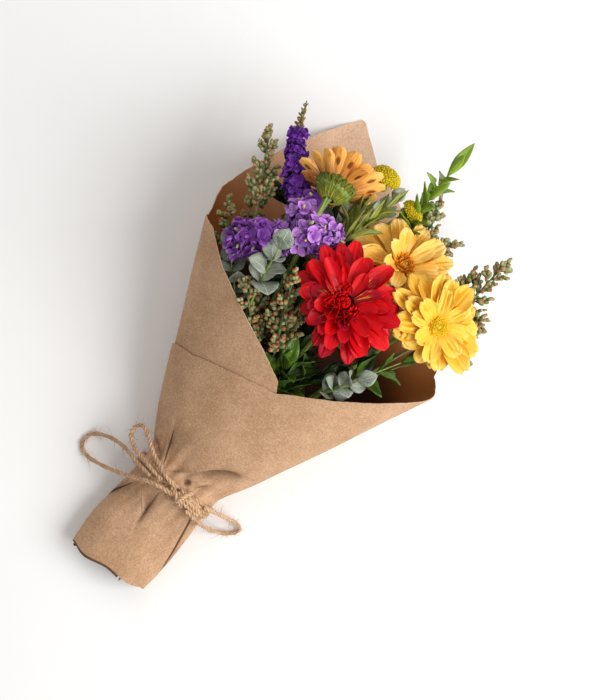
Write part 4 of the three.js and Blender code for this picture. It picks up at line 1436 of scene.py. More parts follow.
@dataclass
class Twine:
    """Jute twine: three turns round the neck, a knot, and the bow's three loops."""

    radius: float = 1.9
    pitch: float = 13.0
    band_y: float = -5.0
    band_x: float = -0.9
    band_z: float = 31.9
    band_a: float = 40.8
    band_b: float = 27.0
    sides: int = 12
    lowest: float = 0.1
    end: Pair = (0.35, 0.33)
    ply: Pair = (0.76, 0.28)
    slow: Pair = (0.09, 0.31)
    fast: Pair = (0.07, 0.83)

    def cord(self, line: list[Vector], radius: float, closed: bool = False) -> Piece:
        """A twisted cord along a line.

        Args:
            line: the centreline's points.
            radius: the cord's radius.
            closed: whether it runs back into itself.

        Returns:
            The cord, with its twist as relief and in its UV map.
        """
        rings, gone = self._rings(line, radius, closed)
        count, sides = len(rings), self.sides
        mesh = bmesh.new()
        chart = mesh.loops.layers.uv.new(UV)
        points = [[mesh.verts.new(spot) for spot in ring] for ring in rings]
        for i in range(count if closed else count - 1):
            j = (i + 1) % count
            end = gone[j] if j else gone[i] + (line[0] - line[i]).length
            for k in range(sides):
                m = (k + 1) % sides
                face = mesh.faces.new((points[i][k], points[i][m], points[j][m], points[j][k]))
                spots = ((k, gone[i]), (k + 1, gone[i]), (k + 1, end), (k, end))
                for loop, (step, far) in zip(face.loops, spots):
                    loop[chart].uv = (step / sides - far / self.pitch, far)
        if not closed:
            mesh.faces.new(list(reversed(points[0])))
            mesh.faces.new(points[-1])
        data = bpy.data.meshes.new("cord")
        mesh.to_mesh(data)
        mesh.free()
        piece = linked("cord", data)
        paint(piece, JUTE)
        return piece

    def _rings(
        self, line: list[Vector], radius: float, closed: bool,
    ) -> tuple[list[list[Vector]], list[float]]:
        """The twisted cord's rings of points, and how far along the line each lies."""
        count = len(line)
        side = side_of(line[1] - line[0])
        (tip, growth), (low, high) = self.end, self.ply
        (slow, slow_rate), (fast, fast_rate) = self.slow, self.fast
        rings, gone = [], []
        travelled = 0.0
        for i, place in enumerate(line):
            before = line[i - 1] if (i or closed) else place
            after = line[(i + 1) % count] if (i < count - 1 or closed) else place
            heading = (after - before).normalized()
            side = (side - heading * side.dot(heading)).normalized()
            other = heading.cross(side)
            travelled += (place - line[i - 1]).length if i else 0.0
            taper = 1.0
            if not closed:
                taper = min(1.0, tip + min(i, count - 1 - i) * growth)
            uneven = 1.0 + slow * math.sin(slow_rate * travelled)
            uneven += fast * math.sin(fast_rate * travelled + radius)
            ring = []
            for k in range(self.sides):
                angle = math.tau * k / self.sides
                ply = 0.5 * PLIES * (angle - math.tau * travelled / self.pitch)
                lobe = low + high * abs(math.sin(ply))
                reach = radius * taper * lobe * uneven
                spot = place + side * (reach * math.cos(angle)) + other * (reach * math.sin(angle))
                spot.z = max(spot.z, self.lowest)
                ring.append(spot)
            rings.append(ring)
            gone.append(travelled)
        return rings, gone

    def turn(self, shift: float, slant: float) -> list[Vector]:
        """One turn of the band."""
        points = []
        count = 28
        for k in range(count):
            angle = math.tau * k / count
            wave = 0.5 * math.sin(5 * angle + shift)
            points.append(Vector((
                self.band_x + (self.band_a + 0.3 * wave) * math.cos(angle),
                self.band_y + shift + slant * math.cos(angle) + 0.4 * wave,
                self.band_z + (self.band_b + 0.3 * wave) * math.sin(angle),
            )))
        return smooth_line(points, 8, closed=True)

    def fibres(self, lines: list[list[Vector]]) -> Piece:
        """Loose fibres that stand out of the twine."""
        draw = random.Random(23)
        hairs = []
        for line in lines:
            for _ in range(max(16, len(line) // 2)):
                i = draw.randrange(2, len(line) - 2)
                heading = (line[i + 1] - line[i - 1]).normalized()
                out = turned(side_of(heading), heading, draw.uniform(0, math.tau))
                if line[i].z < 8 and out.z < 0:
                    out.z = -out.z
                start = line[i] + out * (self.radius * 0.8)
                bend = turned(out, heading, draw.uniform(-1.2, 1.2))
                reach = draw.uniform(1.8, 5.5) if draw.random() < 0.85 else draw.uniform(7, 11)
                drift = heading * draw.choice((-1, 1)) * draw.uniform(0.4, 1.4)
                thick = draw.uniform(0.13, 0.28)
                hair = []
                for k in range(5):
                    t = k / 4
                    place = start + (out * t * 0.55 + bend * t * t * 0.45 + drift * t) * reach
                    place.z = max(place.z, 0.3)
                    hair.append((place, thick * (1 - 0.7 * t)))
                hairs.append(hair)
        return tubes(hairs, JUTE, 0)

    def build(self) -> None:
        """Makes the band, the knot, the loops and the loose fibres."""
        turns = [self.turn(-4.1, 0.5), self.turn(0.0, -0.4), self.turn(4.1, 0.5)]
        knots = [smooth_line([Vector(p) for p in line], 8) for line in KNOT]
        parts = [self.cord(line, self.radius + 0.15, closed=True) for line in turns]
        parts += [self.cord(line, self.radius + 0.25) for line in knots]
        settle(join(parts), "twine_band", "twine_tie", FIRM)
        routes = []
        for node, points in LOOPS:
            line = smooth_line([Vector(p) for p in points], 18)
            routes.append(line)
            piece = settle(self.cord(line, self.radius), node, angle=FIRM)
            path = [TO_ROW @ place for place in line]
            length = sum((b - a).length for a, b in zip(path, path[1:]))
            2 * self.radius * MM
            LOG.info("%s: %.0f mm of twine", node, length / MM)
        hairs = self.fibres([*turns, *knots, *routes])
        hairs.data.transform(TO_ROW)
        hairs.name = "twine_fibres"
        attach(hairs, BODY)


# The blooms.
@dataclass(frozen=True)
class Row:
    """A ring of petals: how many, where their roots are, their size and how they stand."""

    count: int
    root: float
    rise: float
    length: float
    half: float
    lift: float
    shapes: tuple[Blade, ...]
    jitter: float = 0.1
    start: float = 0.0
    sweep: float = math.tau


@dataclass
class Bloom:
    """A double bloom: a calyx of green bracts, rings of petals and a tuft in the middle."""

    name: str
    base: Triple
    facing: Triple
    core: Pair
    calyx: float
    rows: tuple[Row, ...]
    slot: str
    core_finish: Finish
    tuft: Row | None = None
    calyx_depth: float = 11.0
    bract_rows: int = 3
    short: tuple[Pair, ...] = ()
    shift: Triple = (0.0, 0.0, 0.0)
    bend: float = 70.0
    head_room: float = 15.0
    foot: Triple = (0.0, 0.0, 0.0)
    foot_top: float = -60.0
    foot_run: float = 40.0
    seed: int = 3

    def place(self) -> Matrix:
        """The frame of the head: +Z the way that it faces."""
        facing = Vector(self.facing)
        return stand(Vector(self.base) + Vector(self.shift), side_of(facing), facing)

    def lean(self, stem: Piece) -> None:
        """Bends the top of the stem over to where the head is, and draws its foot out of the wrap."""
        for vertex in stem.data.vertices:
            share = unit((vertex.co.y - self.base[1] + self.bend) / (self.bend - self.head_room))
            low = unit((self.foot_top - vertex.co.y) / self.foot_run)
            vertex.co += Vector(self.shift) * eased(share) + Vector(self.foot) * (low * low)

    def ring(self, row: Row, draw: Draw) -> Copies:
        """Places the petals of a ring."""
        made = []
        place = self.place()
        for i in range(row.count):
            angle = row.sweep * (i + draw.uniform(-0.25, 0.25)) / row.count + (row.start or row.rise)
            out = ray(angle)
            lift = row.lift + draw.uniform(-row.jitter, row.jitter) + (0.08 if i % 2 else 0.0)
            roll = Matrix.Rotation(draw.uniform(-0.22, 0.22), 4, "Y")
            spot = stand(out * row.root + UP * row.rise, out, UP)
            held = 1.0 - sum(cut * max(0.0, math.cos(angle - way)) ** 2 for way, cut in self.short)
            size = sized(row.half * draw.uniform(0.88, 1.1), row.length * held * draw.uniform(0.9, 1.06))
            made.append((draw.choice(row.shapes), place @ spot @ leaning(lift) @ roll @ size))
        return made

    def tufts(self, draw: Draw) -> Copies:
        """Places the middle's small florets, upright towards the centre, with a gap at the row's start."""
        made = []
        row = self.tuft
        place = self.place()
        for i in range(row.count):
            share = math.sqrt((i + 0.5) / row.count)
            angle = i * GOLDEN
            if share > 0.3 and row.start and math.cos(angle - row.start) > 0.72:
                continue
            out = ray(angle)
            rise = row.rise * (1.0 - 0.45 * share * share)
            spot = stand(out * (row.root * share) + UP * rise, out, UP)
            lift = math.pi / 2 - share * (math.pi / 2 - row.lift) + draw.uniform(-0.15, 0.15)
            size = row.length * draw.uniform(0.8, 1.1)
            made.append((draw.choice(row.shapes), place @ spot @ leaning(lift) @ sized(row.half, size)))
        return made

    def disc(self) -> Piece:
        """The receptacle that the petals grow from."""
        deselect()
        bpy.ops.mesh.primitive_uv_sphere_add(segments=20, ring_count=10, radius=1.0)
        piece = bpy.context.object
        reshape(piece, [(lambda place: place.z < -0.05, (0.9, 0.9, 0.05))], center_override=(0.0, 0.0, 0.0))
        radius, height = self.core
        piece.data.transform(self.place() @ Matrix.Diagonal((radius, radius, height * 0.8, 1.0)))
        paint(piece, self.core_finish)
        return piece

    def build(self) -> None:
        """Makes the petals, then the stem with its calyx."""
        draw = random.Random(self.seed)
        places = [spot for row in self.rows for spot in self.ring(row, draw)]
        if self.tuft:
            places += self.tufts(draw)
        petals = Kit.scatter(places, draw)
        settle(join([self.disc(), petals]), f"{self.name}_petals", held=True)
        stem = grown_stem(f"{self.name}_stem", GREEN_STEM)
        self.lean(stem)
        stem = join([stem, self.bracts(draw)])
        settle(stem, f"{self.name}_stem")

    def bracts(self, draw: Draw) -> Piece:
        """The calyx: rows of overlapping bracts under the head."""
        bracts = []
        place = self.place()
        bract = Blade(BRACT, (0.7, 0.95, 1.0, 0.9, 0.65, 0.2), 0.35, curl=0.75, cup=0.8, thick=0.04)
        for row in range(self.bract_rows):
            share = (row + 1.0) / self.bract_rows
            radius = 3.5 + (self.calyx * 0.98 - 4.5) * share ** 0.8
            height = -self.calyx_depth * (1.0 - share * share * 0.8) - 0.6
            count = int(12 + 22 * share * self.calyx / 18)
            rise = 0.3 + 0.6 * share
            wide = 1.15 * math.pi * radius / count
            for i in range(count):
                angle = math.tau * (i + 0.5 * (row % 2)) / count + draw.uniform(-0.05, 0.05)
                out = ray(angle)
                spot = stand(out * (radius * 0.7) + UP * height, out + UP * rise, UP - out * 0.45)
                size = self.calyx * 0.68 * draw.uniform(0.9, 1.1)
                bracts.append((bract, place @ spot @ sized(wide, size)))
        return Kit.scatter(bracts, draw)


# The outlines of petals from root to tip, and each bloom's petals.
SPOON = (0.4, 0.54, 0.67, 0.79, 0.89, 0.97, 1.0, 0.94, 0.74, 0.32)
BROAD = (0.36, 0.56, 0.72, 0.85, 0.94, 1.0, 0.99, 0.9, 0.7, 0.32)
ROUND_TIP = (0.34, 0.5, 0.64, 0.77, 0.88, 0.97, 1.0, 0.98, 0.86, 0.5)
SCOOP = (0.5, 0.9, 1.0, 0.75, 0.2)
REDS = blades(
    RED, SPOON, dict(curl=-0.25, cup=0.7, pleat=1.1), dict(curl=0.1, cup=0.9, pleat=1.0),
    dict(curl=-0.5, cup=0.5, pleat=1.3), dict(curl=0.25, cup=1.5, pleat=0.6), columns=8,
)
ROLLED_REDS = blades(RED, SPOON, dict(slim=0.34, curl=0.5, cup=2.6, roll=1.0, columns=8))
RED_FLORETS = blades(
    RED_TUFT, SCOOP, dict(curl=0.9, cup=1.8), dict(curl=1.6, cup=1.2), slim=0.25, columns=2, thick=0.05,
)
YELLOWS = blades(
    YELLOW, BROAD, dict(curl=-0.25, cup=0.6, ruffle=0.5, pleat=1.7, notch=0.6),
    dict(curl=-0.5, cup=0.8, ruffle=0.7, pleat=1.5),
    dict(curl=0.2, cup=1.1, ruffle=0.5, pleat=1.5, notch=0.4), slim=0.24, columns=8,
)
AMBERS = blades(
    AMBER, BROAD, dict(curl=-0.25, cup=0.6, ruffle=0.5, pleat=1.7, notch=0.6),
    dict(curl=-0.45, cup=0.8, ruffle=0.7, pleat=1.5), dict(curl=0.3, cup=1.3, ruffle=0.5, pleat=1.5),
    slim=0.24, columns=8,
)
BRONZES = blades(
    BRONZE, ROUND_TIP, dict(curl=-0.2, cup=0.7, pleat=1.2), dict(curl=0.3, cup=1.0, pleat=1.0), columns=8,
)
SCOOPED = dict(slim=0.3, curl=0.8, cup=1.5, columns=2, thick=0.06)
YELLOW_FLORETS = blades(YELLOW_TUFT, SCOOP, SCOOPED)
BRONZE_FLORETS = blades(BRONZE_TUFT, SCOOP, SCOOPED)
AMBER_FLORETS = blades(
    AMBER_TUFT, SCOOP, dict(curl=0.5, cup=1.5, thick=0.06), dict(curl=1.1, cup=1.8, thick=0.05),
    slim=0.3, columns=2,
)


def blooms() -> list[Bloom]:
    """The four large blooms, front to back."""
    # Rows: count, root, rise, length, half, lift, shapes, jitter.
    return [
        Bloom(
            "red_chrysanthemum", (12, 221, 145), (-0.02, 0.24, 0.96), (12, 6), 12, (
                Row(17, 8.6, 1.2, 43, 7.9, -0.06, REDS, 0.07), Row(15, 8.4, 2.4, 38, 7.5, 0.08, REDS, 0.08),
                Row(13, 8, 3.6, 32, 6.8, 0.22, REDS), Row(9, 8, 4.8, 23, 5.6, 0.36, REDS, 0.14),
                Row(5, 10, 5, 20, 6.2, 0.42, ROLLED_REDS, 0.1, 0.7, 1.7),
            ), "red_petals", DISC, Row(100, 14, 5, 9.5, 2.6, 0.35, RED_FLORETS, start=4.2),
            short=((0.8, 0.3), (5.6, -0.16)), seed=4,
        ),
        Bloom(
            "yellow_daisy_front", (86, 259, 126), (0.26, 0.1, 0.95), (10, 5), 10, (
                Row(12, 7.4, 1.2, 44, 9.8, -0.02, YELLOWS), Row(11, 7, 2.4, 39, 9.2, 0.12, YELLOWS, 0.12),
                Row(8, 6.6, 3.6, 30, 7.8, 0.3, YELLOWS, 0.14),
            ), "yellow_petals", YELLOW_TUFT, Row(60, 7.6, 4.4, 4.6, 1.7, 0.5, YELLOW_FLORETS),
            short=((1.6, 0.34), (3.9, 0.24)), foot=(5.0, -11.0, 0.0), seed=8,
        ),
        Bloom(
            "yellow_daisy_back", (29, 281, 105), (0.12, 0.44, 0.88), (10, 5), 10, (
                Row(12, 7.4, 1.2, 43, 9.6, 0.02, AMBERS), Row(10, 7, 2.4, 38, 9, 0.2, AMBERS, 0.12),
                Row(7, 6.6, 3.6, 27, 7.6, 0.46, AMBERS, 0.14),
            ), "yellow_petals", AMBER_TUFT, Row(54, 8, 5, 6.4, 1.5, 0.6, AMBER_FLORETS), seed=12,
        ),
        Bloom(
            "bronze_chrysanthemum", (-56, 284, 130), (-0.18, 0.87, -0.42), (12.5, 6), 21, (
                Row(15, 13.4, 1.2, 32, 6.6, 0.4, BRONZES, 0.12),
                Row(13, 12, 3, 28, 6.4, 0.64, BRONZES, 0.14), Row(10, 9, 5, 24, 5.2, 0.95, BRONZES),
            ), "bronze_petals", CUP, Row(30, 9, 6, 9, 1.8, 0.8, BRONZE_FLORETS), bract_rows=6,
            calyx_depth=12.5, short=((-0.2, 0.22),), shift=(-3.0, 9.0, 0.0), seed=16,
        ),
    ]


@dataclass
class ButtonFlower:
    """A button flower: a dome packed with tiny florets over a green cup."""

    name: str
    base: Triple
    facing: Triple
    radius: float
    florets: int = 260
    flat: float = 0.7
    seed: int = 2

    def build(self) -> None:
        """Makes the dome with its florets, then the stem with its cup."""
        facing = Vector(self.facing)
        place = stand(Vector(self.base), side_of(facing), facing)
        draw = random.Random(self.seed)
        floret = Bud(BUTTON, GRAIN, 5)
        spots = []
        centre = Vector((0.0, 0.0, self.radius * 0.34))
        reach = self.radius * 0.15
        for i in range(self.florets):
            even = on_ball(i, self.florets, 1.3)
            out = nudged(even, draw, 0.07)
            body = Vector((out.x, out.y, out.z * self.flat)) * (self.radius * 0.88)
            spot = stand(centre + body, out, UP if abs(even.z) < 0.98 else side_of(UP))
            wide = reach * draw.uniform(0.45, 0.62)
            spots.append((floret, place @ spot @ plump(wide, reach * draw.uniform(0.8, 1.15))))
        deselect()
        bpy.ops.mesh.primitive_ico_sphere_add(subdivisions=3, radius=1.0)
        dome = bpy.context.object
        cut = -0.35
        reshape(dome, [(lambda spot: spot.z < cut, (0.85, 0.85, 0.4))], center_override=(0.0, 0.0, cut))
        wide = self.radius * 0.93
        size = Matrix.Diagonal((wide, wide, wide * self.flat, 1.0))
        dome.data.transform(place @ Matrix.Translation(centre) @ size)
        paint(dome, BUTTON)
        settle(join([dome, Kit.scatter(spots, draw)]), f"{self.name}_head")
        bare_stem(self.name)


@dataclass(frozen=True)
class Cluster:
    """A ball of florets in a head: its middle from the head's, its reach, how many, and their finish."""

    offset: Triple
    reach: float
    count: int
    finish: PetalFinish


@dataclass
class FloretHead:
    """A loose head of ruffled lilac florets and buds, in clusters that run into each other."""

    name: str
    base: Triple
    facing: Triple
    core: float
    size: float
    clusters: tuple[Cluster, ...]
    bud_length: float = 9.0
    seed: int = 6

    @staticmethod
    def kinds(petals: PetalFinish) -> tuple[Floret, ...]:
        """A cluster's four florets, from open to nearly closed."""
        return (
            Floret(petals, 4, 0.3, 0.42), Floret(petals, 4, 0.75, 0.36, 1),
            Floret(petals, 3, 0.1, 0.38, 1), Floret(petals, 3, 1.0, 0.5, 1),
        )

    def florets(self, cluster: Cluster, place: Matrix, draw: Draw) -> Copies:
        """Places florets over a cluster's ball, and a bud beside every third one."""
        kinds = self.kinds(cluster.finish)
        bud = Bud(cluster.finish, LONG)
        green = Bud(PALE_BUD, LONG)
        made = []
        for i in range(cluster.count):
            out = on_ball(i, cluster.count, 1.5)
            near = cluster.reach * draw.uniform(0.6, 1.0)
            size = self.size * draw.uniform(0.7, 1.15)
            lean = nudged(out, draw, 0.7)
            turn = Matrix.Rotation(draw.uniform(0, ANY_TURN), 4, "Z") @ Matrix.Scale(size, 4)
            made.append((draw.choice(kinds), place @ stand(out * near, side_of(lean), lean) @ turn))
            if i % 3 == 0:
                kind, slim = (bud, 2.2) if i % 2 else (green, 1.6)
                made.append((kind, place @ stand(out * near, lean, UP) @ plump(slim, self.bud_length)))
        return made

    def ball(self, cluster: Cluster, place: Matrix) -> Piece:
        """The dark middle of a cluster."""
        deselect()
        bpy.ops.mesh.primitive_ico_sphere_add(subdivisions=2, radius=min(self.core, cluster.reach * 0.62))
        piece = bpy.context.object
        reshape(piece, [(lambda spot: True, (0.95, 0.95, 1.0))])
        piece.data.transform(place)
        paint(piece, VIOLET)
        return piece

    def build(self) -> None:
        """Makes the head, then its stem."""
        facing = Vector(self.facing).normalized()
        middle = Vector(self.base) + facing * (self.core + 0.35)
        draw = random.Random(self.seed)
        spots, parts = [], []
        for cluster in self.clusters:
            place = stand(middle + Vector(cluster.offset), side_of(facing), facing)
            spots += self.florets(cluster, place, draw)
            parts.append(self.ball(cluster, place))
        parts.append(Kit.scatter(spots, draw))
        settle(join(parts), f"{self.name}_florets", held=True)
        bare_stem(self.name)


def lilacs() -> list[FloretHead]:
    """The two lilac heads."""
    left = (
        Cluster((2, -2, 0), 15, 26, MAUVE), Cluster((-9, -11, -4), 15, 28, MAUVE),
        Cluster((16, 8, -4), 13, 22, LILAC),
    )
    right = (
        Cluster((-4, 1, -7), 15, 34, LILAC), Cluster((-17, -4, 0), 15, 30, LILAC),
        Cluster((-30, 4, -10), 14, 28, LILAC), Cluster((-33, 22, -17), 8, 10, MAUVE),
    )
    return [
        FloretHead("lilac_head_left", (-80, 217, 117), (-0.3, 0.25, 0.9), 10.5, 10.6, left),
        FloretHead("lilac_head_right", (-34, 250, 122), (-0.05, 0.3, 0.94), 10, 9.4, right, seed=7),
    ]


@dataclass
class Spike:
    """A larkspur spike: ruffled violet florets that shrink to buds at the tip."""

    name: str = "larkspur"
    base: Triple = (-73, 265, 104)
    tip: Triple = (-129, 339, 90)
    core: float = 6.4
    bow: Triple = (-6.0, -5.0, 0.0)
    count: int = 88
    size: float = 8.8
    bud_size: float = 8.0
    buds_from: float = 0.7
    seed: int = 9

    def florets(self, place: Matrix, length: float, draw: Draw) -> Copies:
        """Places florets round the spike's axis, and buds round its tip."""
        kinds = (
            Floret(VIOLET, 5, 0.25, 0.4, 3), Floret(VIOLET, 5, 0.75, 0.36, 2),
            Floret(VIOLET, 6, 0.0, 0.34, 3),
        )
        bud = Bud(SPIKE_BUD, FULL)
        made = []
        for i in range(self.count):
            share = (i + 0.5) / self.count
            aside = Matrix.Translation(Vector(self.bow) * (4 * share * (1 - share)))
            out = ray(i * GOLDEN, 0.15 + 0.8 * share).normalized()
            body = self.core * (1.0 - 0.8 * share)
            centre = UP * (share * length)
            if share > self.buds_from:
                size = self.bud_size * (1.2 - share)
                spot = stand(centre + out * body * 0.4, out, UP)
                made.append((bud, aside @ place @ spot @ plump(size * 0.46, size * 1.5)))
                continue
            size = self.size * (1.0 - 0.3 * share) * draw.uniform(0.75, 1.1)
            spot = centre + out * (body + size * draw.uniform(0.2, 0.6))
            turn = Matrix.Rotation(draw.uniform(0, ANY_TURN), 4, "Z") @ Matrix.Scale(size, 4)
            lean = nudged(out, draw, 0.3)
            made.append((draw.choice(kinds), aside @ place @ stand(spot, side_of(lean), lean) @ turn))
        return made

    def build(self) -> None:
        """Makes the spike, then its stem."""
        base = Vector(self.base)
        length = (Vector(self.tip) - base).length
        way = (Vector(self.tip) - base).normalized()
        draw = random.Random(self.seed)
        spots = self.florets(stand(base + way * 0.65, side_of(way), way), length, draw)
        bow = Vector(self.bow) * 4
        line = []
        for t in (0.005, 0.3, 0.5, 0.7, 0.85, 1.0):
            line.append((base + way * length * t + bow * t * (1 - t), self.core * 0.7 * (1.0 - 0.86 * t)))
        core = tubes([line], SPIKE_BUD, 2)
        settle(join([core, Kit.scatter(spots, draw)]), f"{self.name}_florets")
        bare_stem(self.name)


# The greenery.
def leaf_line(base: Vector, tip: Vector, sag: float, bow: Triple = (0.0, 0.0, 0.0)) -> Route:
    """A gently arched line from base to tip, as a function that gives a place and its heading."""
    middle = base.lerp(tip, 0.5) + UP * sag + Vector(bow)
    control = middle * 2 - base * 0.5 - tip * 0.5

    def at(share: float) -> tuple[Vector, Vector]:
        """The place and heading at a share of the way."""
        place = base * (1 - share) ** 2 + control * (2 * share * (1 - share)) + tip * share ** 2
        heading = (control - base) * (1 - share) + (tip - control) * share
        return place, heading.normalized()

    return at


@dataclass
class Greenery:
    """What grows on slim stems that run from one base to some tips, over the top of a solid stem."""

    name: str
    base: Triple
    tips: tuple[Triple, ...]
    _: KW_ONLY
    stem: float
    stem_finish: StemFinish
    sag: float
    slot: str
    bow: Triple = (0.0, 0.0, 0.0)
    seed: int = 1

    def route(self, tip: Triple) -> Route:
        """The line of the stem that ends at a tip."""
        return leaf_line(Vector(self.base), Vector(tip), self.sag, self.bow)

    def slim(self, at: Route, loss: float) -> Strand:
        """A stem along a route that loses a share of its radius on the way."""
        return [(at(t / 8)[0], self.stem * (1.0 - loss * t / 8)) for t in range(9)]

    def stalk(self, tip: Triple, draw: Draw) -> tuple[list[Strand], Copies]:
        """One stem from the base to a tip: its lines and the places of what it bears."""
        raise NotImplementedError

    def build(self) -> None:
        """Makes all stems with what they bear, on the top of the solid stem."""
        draw = random.Random(self.seed)
        lines, spots = [], []
        for tip in self.tips:
            more, placed = self.stalk(tip, draw)
            lines += more
            spots += placed
        foot = grown_stem(self.name, self.stem_finish, Vector(self.base), self.route(self.tips[0])(0.0)[1])
        piece = join([foot, tubes(lines, self.stem_finish), Kit.scatter(spots, draw)])
        settle(piece, self.name, held=True)


@dataclass
class BudSpray(Greenery):
    """A spray of buds: short twigs all round a stem, each set with plump buds to its tip."""

    twigs: int
    reach: float
    _: KW_ONLY
    stem: float = 1.5
    stem_finish: StemFinish = TWIG
    sag: float = 1.5
    slot: str = "olive_buds"
    buds: int = 7
    last_at: float = 0.88
    last_reach: float = 14.0

    def twig(self, root: Vector, way: Vector, length: float, draw: Draw) -> tuple[Strand, Copies]:
        """One twig and the places of its buds."""
        bend = turned(side_of(way), way, draw.uniform(0, ANY_TURN)) * length * 0.12
        at = leaf_line(root, root + way * length + UP * length * 0.08, 0.0)
        line = [(at(t)[0] + bend * t * (1 - t) * 4, 0.75 - 0.4 * t) for t in (0, 0.25, 0.5, 0.75, 1.0)]
        bud = Bud(OLIVE_BUD)
        spots = []
        for k in range(self.buds):
            share = 0.22 + 0.78 * k / (self.buds - 1)
            place, heading = at(share)
            place = place + bend * share * (1 - share) * 4
            side = turned(side_of(heading), heading, k * GOLDEN + draw.uniform(-0.3, 0.3))
            lean = heading + side * (1.1 - 0.9 * share)
            size = draw.uniform(6.4, 9.2) * (1.0 - 0.25 * share)
            spots.append((bud, stand(place, lean, UP) @ plump(size * draw.uniform(0.25, 0.32), size)))
        return line, spots

    def stalk(self, tip: Triple, draw: Draw) -> tuple[list[Strand], Copies]:
        """One stem from the base to a tip: its lines and the places of its buds."""
        at = self.route(tip)
        lines = [self.slim(at, 0.5)]
        spots = []
        for i in range(self.twigs):
            share = 0.04 + 0.9 * i / (self.twigs - 1)
            root, heading = at(share)
            side = turned(side_of(heading), heading, i * GOLDEN)
            way = (side + heading * draw.uniform(0.8, 1.4)).normalized()
            length = self.reach * (1.0 - 0.62 * share) * draw.uniform(0.8, 1.1)
            line, placed = self.twig(root, way, length, draw)
            lines.append(line)
            spots += placed
        line, placed = self.twig(*at(self.last_at), self.last_reach, draw)
        return [*lines, line], spots + placed


class Kind(Enum):
    """The four kinds of leafy greenery."""

    SILVER = "silver_leaf"
    FRESH = "fresh_leaf"
    LIME = "lime_leaf"
    DARK = "dark_leaf"


# The outlines of leaves from root to tip.
ROUND = (0.12, 0.55, 0.85, 1.0, 0.98, 0.82, 0.5, 0.05)
LANCE = (0.1, 0.5, 0.82, 1.0, 0.95, 0.76, 0.45, 0.02)
NARROW = (0.2, 0.6, 0.9, 1.0, 0.9, 0.7, 0.4, 0.02)
LEAF_SHAPES = {
    Kind.SILVER: blades(
        SILVER, ROUND, dict(curl=-0.35, cup=0.6, ruffle=0.4), dict(curl=0.25, cup=-0.4, ruffle=0.7),
        dict(curl=-0.8, cup=0.8), slim=0.38,
    ),
    Kind.FRESH: blades(
        FRESH, LANCE, dict(curl=-0.25, cup=0.8, ruffle=0.8), dict(curl=0.2, cup=1.0, ruffle=0.6),
        dict(curl=-0.5, cup=0.8, ruffle=0.6),
    ),
    Kind.LIME: blades(
        LIME, NARROW, dict(curl=-0.5, cup=1.6), dict(curl=0.4, cup=1.4, ruffle=0.6), slim=0.12,
    ),
    Kind.DARK: blades(
        DARK, LANCE, dict(curl=-0.5, cup=1.0, ruffle=1.0), dict(curl=-0.2, cup=1.5, ruffle=1.4),
        dict(curl=0.35, cup=0.8, ruffle=1.0),
    ),
}


@dataclass
class Sprig(Greenery):
    """A leafy sprig: leaves in crossed pairs along each of its stems, shorter towards the tip."""

    kind: Kind
    pairs: int
    length: float
    half: float
    _: KW_ONLY
    stem: float = 1.4
    stem_finish: StemFinish = GREEN_STEM
    sag: float = 2.0
    slot: str = ""
    spread: float = 0.75
    end: float = 0.8
    buds: int = 0
    bud_shape: Pair = (1.3, 4.4)
    first: float = 0.04
    turns: Pair = (0.6, 0.6 + math.pi / 2)

    def __post_init__(self) -> None:
        """Names the slot after the sprig's kind."""
        self.slot = self.kind.value

    @staticmethod
    def fit(root: Vector, way: Vector, size: float) -> float:
        """The share of a leaf's length that keeps it behind the front edge of the paper."""
        for share in (1.0, 0.75, 0.5):
            tip = root + way * size * share
            if tip.y > WRAP.lip(tip.x) + 6.0:
                return share
        return 0.35

    def stalk(self, tip: Triple, draw: Draw) -> tuple[list[Strand], Copies]:
        """One stem from the base to a tip: its line and the places of its leaves."""
        at = self.route(tip)
        spots = []
        shapes = LEAF_SHAPES[self.kind]
        for i in range(self.pairs):
            share = self.first + (0.94 - self.first) * i / self.pairs
            root, heading = at(share)
            across = turned(side_of(heading), heading, self.turns[i % 2])
            for sign in (1, -1):
                way = (across * sign + heading * self.spread * draw.uniform(0.7, 1.4)).normalized()
                size = self.length * (1 - 0.3 * share) * draw.uniform(0.8, 1.05)
                wide = self.half * (1 - 0.3 * share) * draw.uniform(0.85, 1.1)
                size *= self.fit(root, way, size)
                roll = Matrix.Rotation(draw.uniform(-0.4, 0.4), 4, "Y")
                spot = stand(root, way, heading + UP * 0.5) @ roll
                spots.append((draw.choice(shapes), spot @ sized(wide, size)))
        root, heading = at(0.97)
        for lean, share in ((0.15, self.end), (0.5, self.end * 0.75)):
            spot = stand(root, heading + side_of(heading) * lean, heading + UP * 0.5)
            spots.append((shapes[0], spot @ sized(self.half * share, self.length * share)))
        bud = Bud(OLIVE_BUD)
        for i in range(self.buds):
            root, heading = at(self.first + 0.1 + 0.4 * i / self.buds)
            side = turned(side_of(heading), heading, i * GOLDEN)
            spot = stand(root + side * draw.uniform(1.0, 5.0), side + heading, UP)
            spots.append((bud, spot @ plump(*self.bud_shape)))
        return [self.slim(at, 0.6)], spots


def seeded(pieces: list[Greenery], first: int) -> list[Greenery]:
    """Gives each piece a seed of its own."""
    for seed, piece in enumerate(pieces, first):
        piece.seed = seed
    return pieces


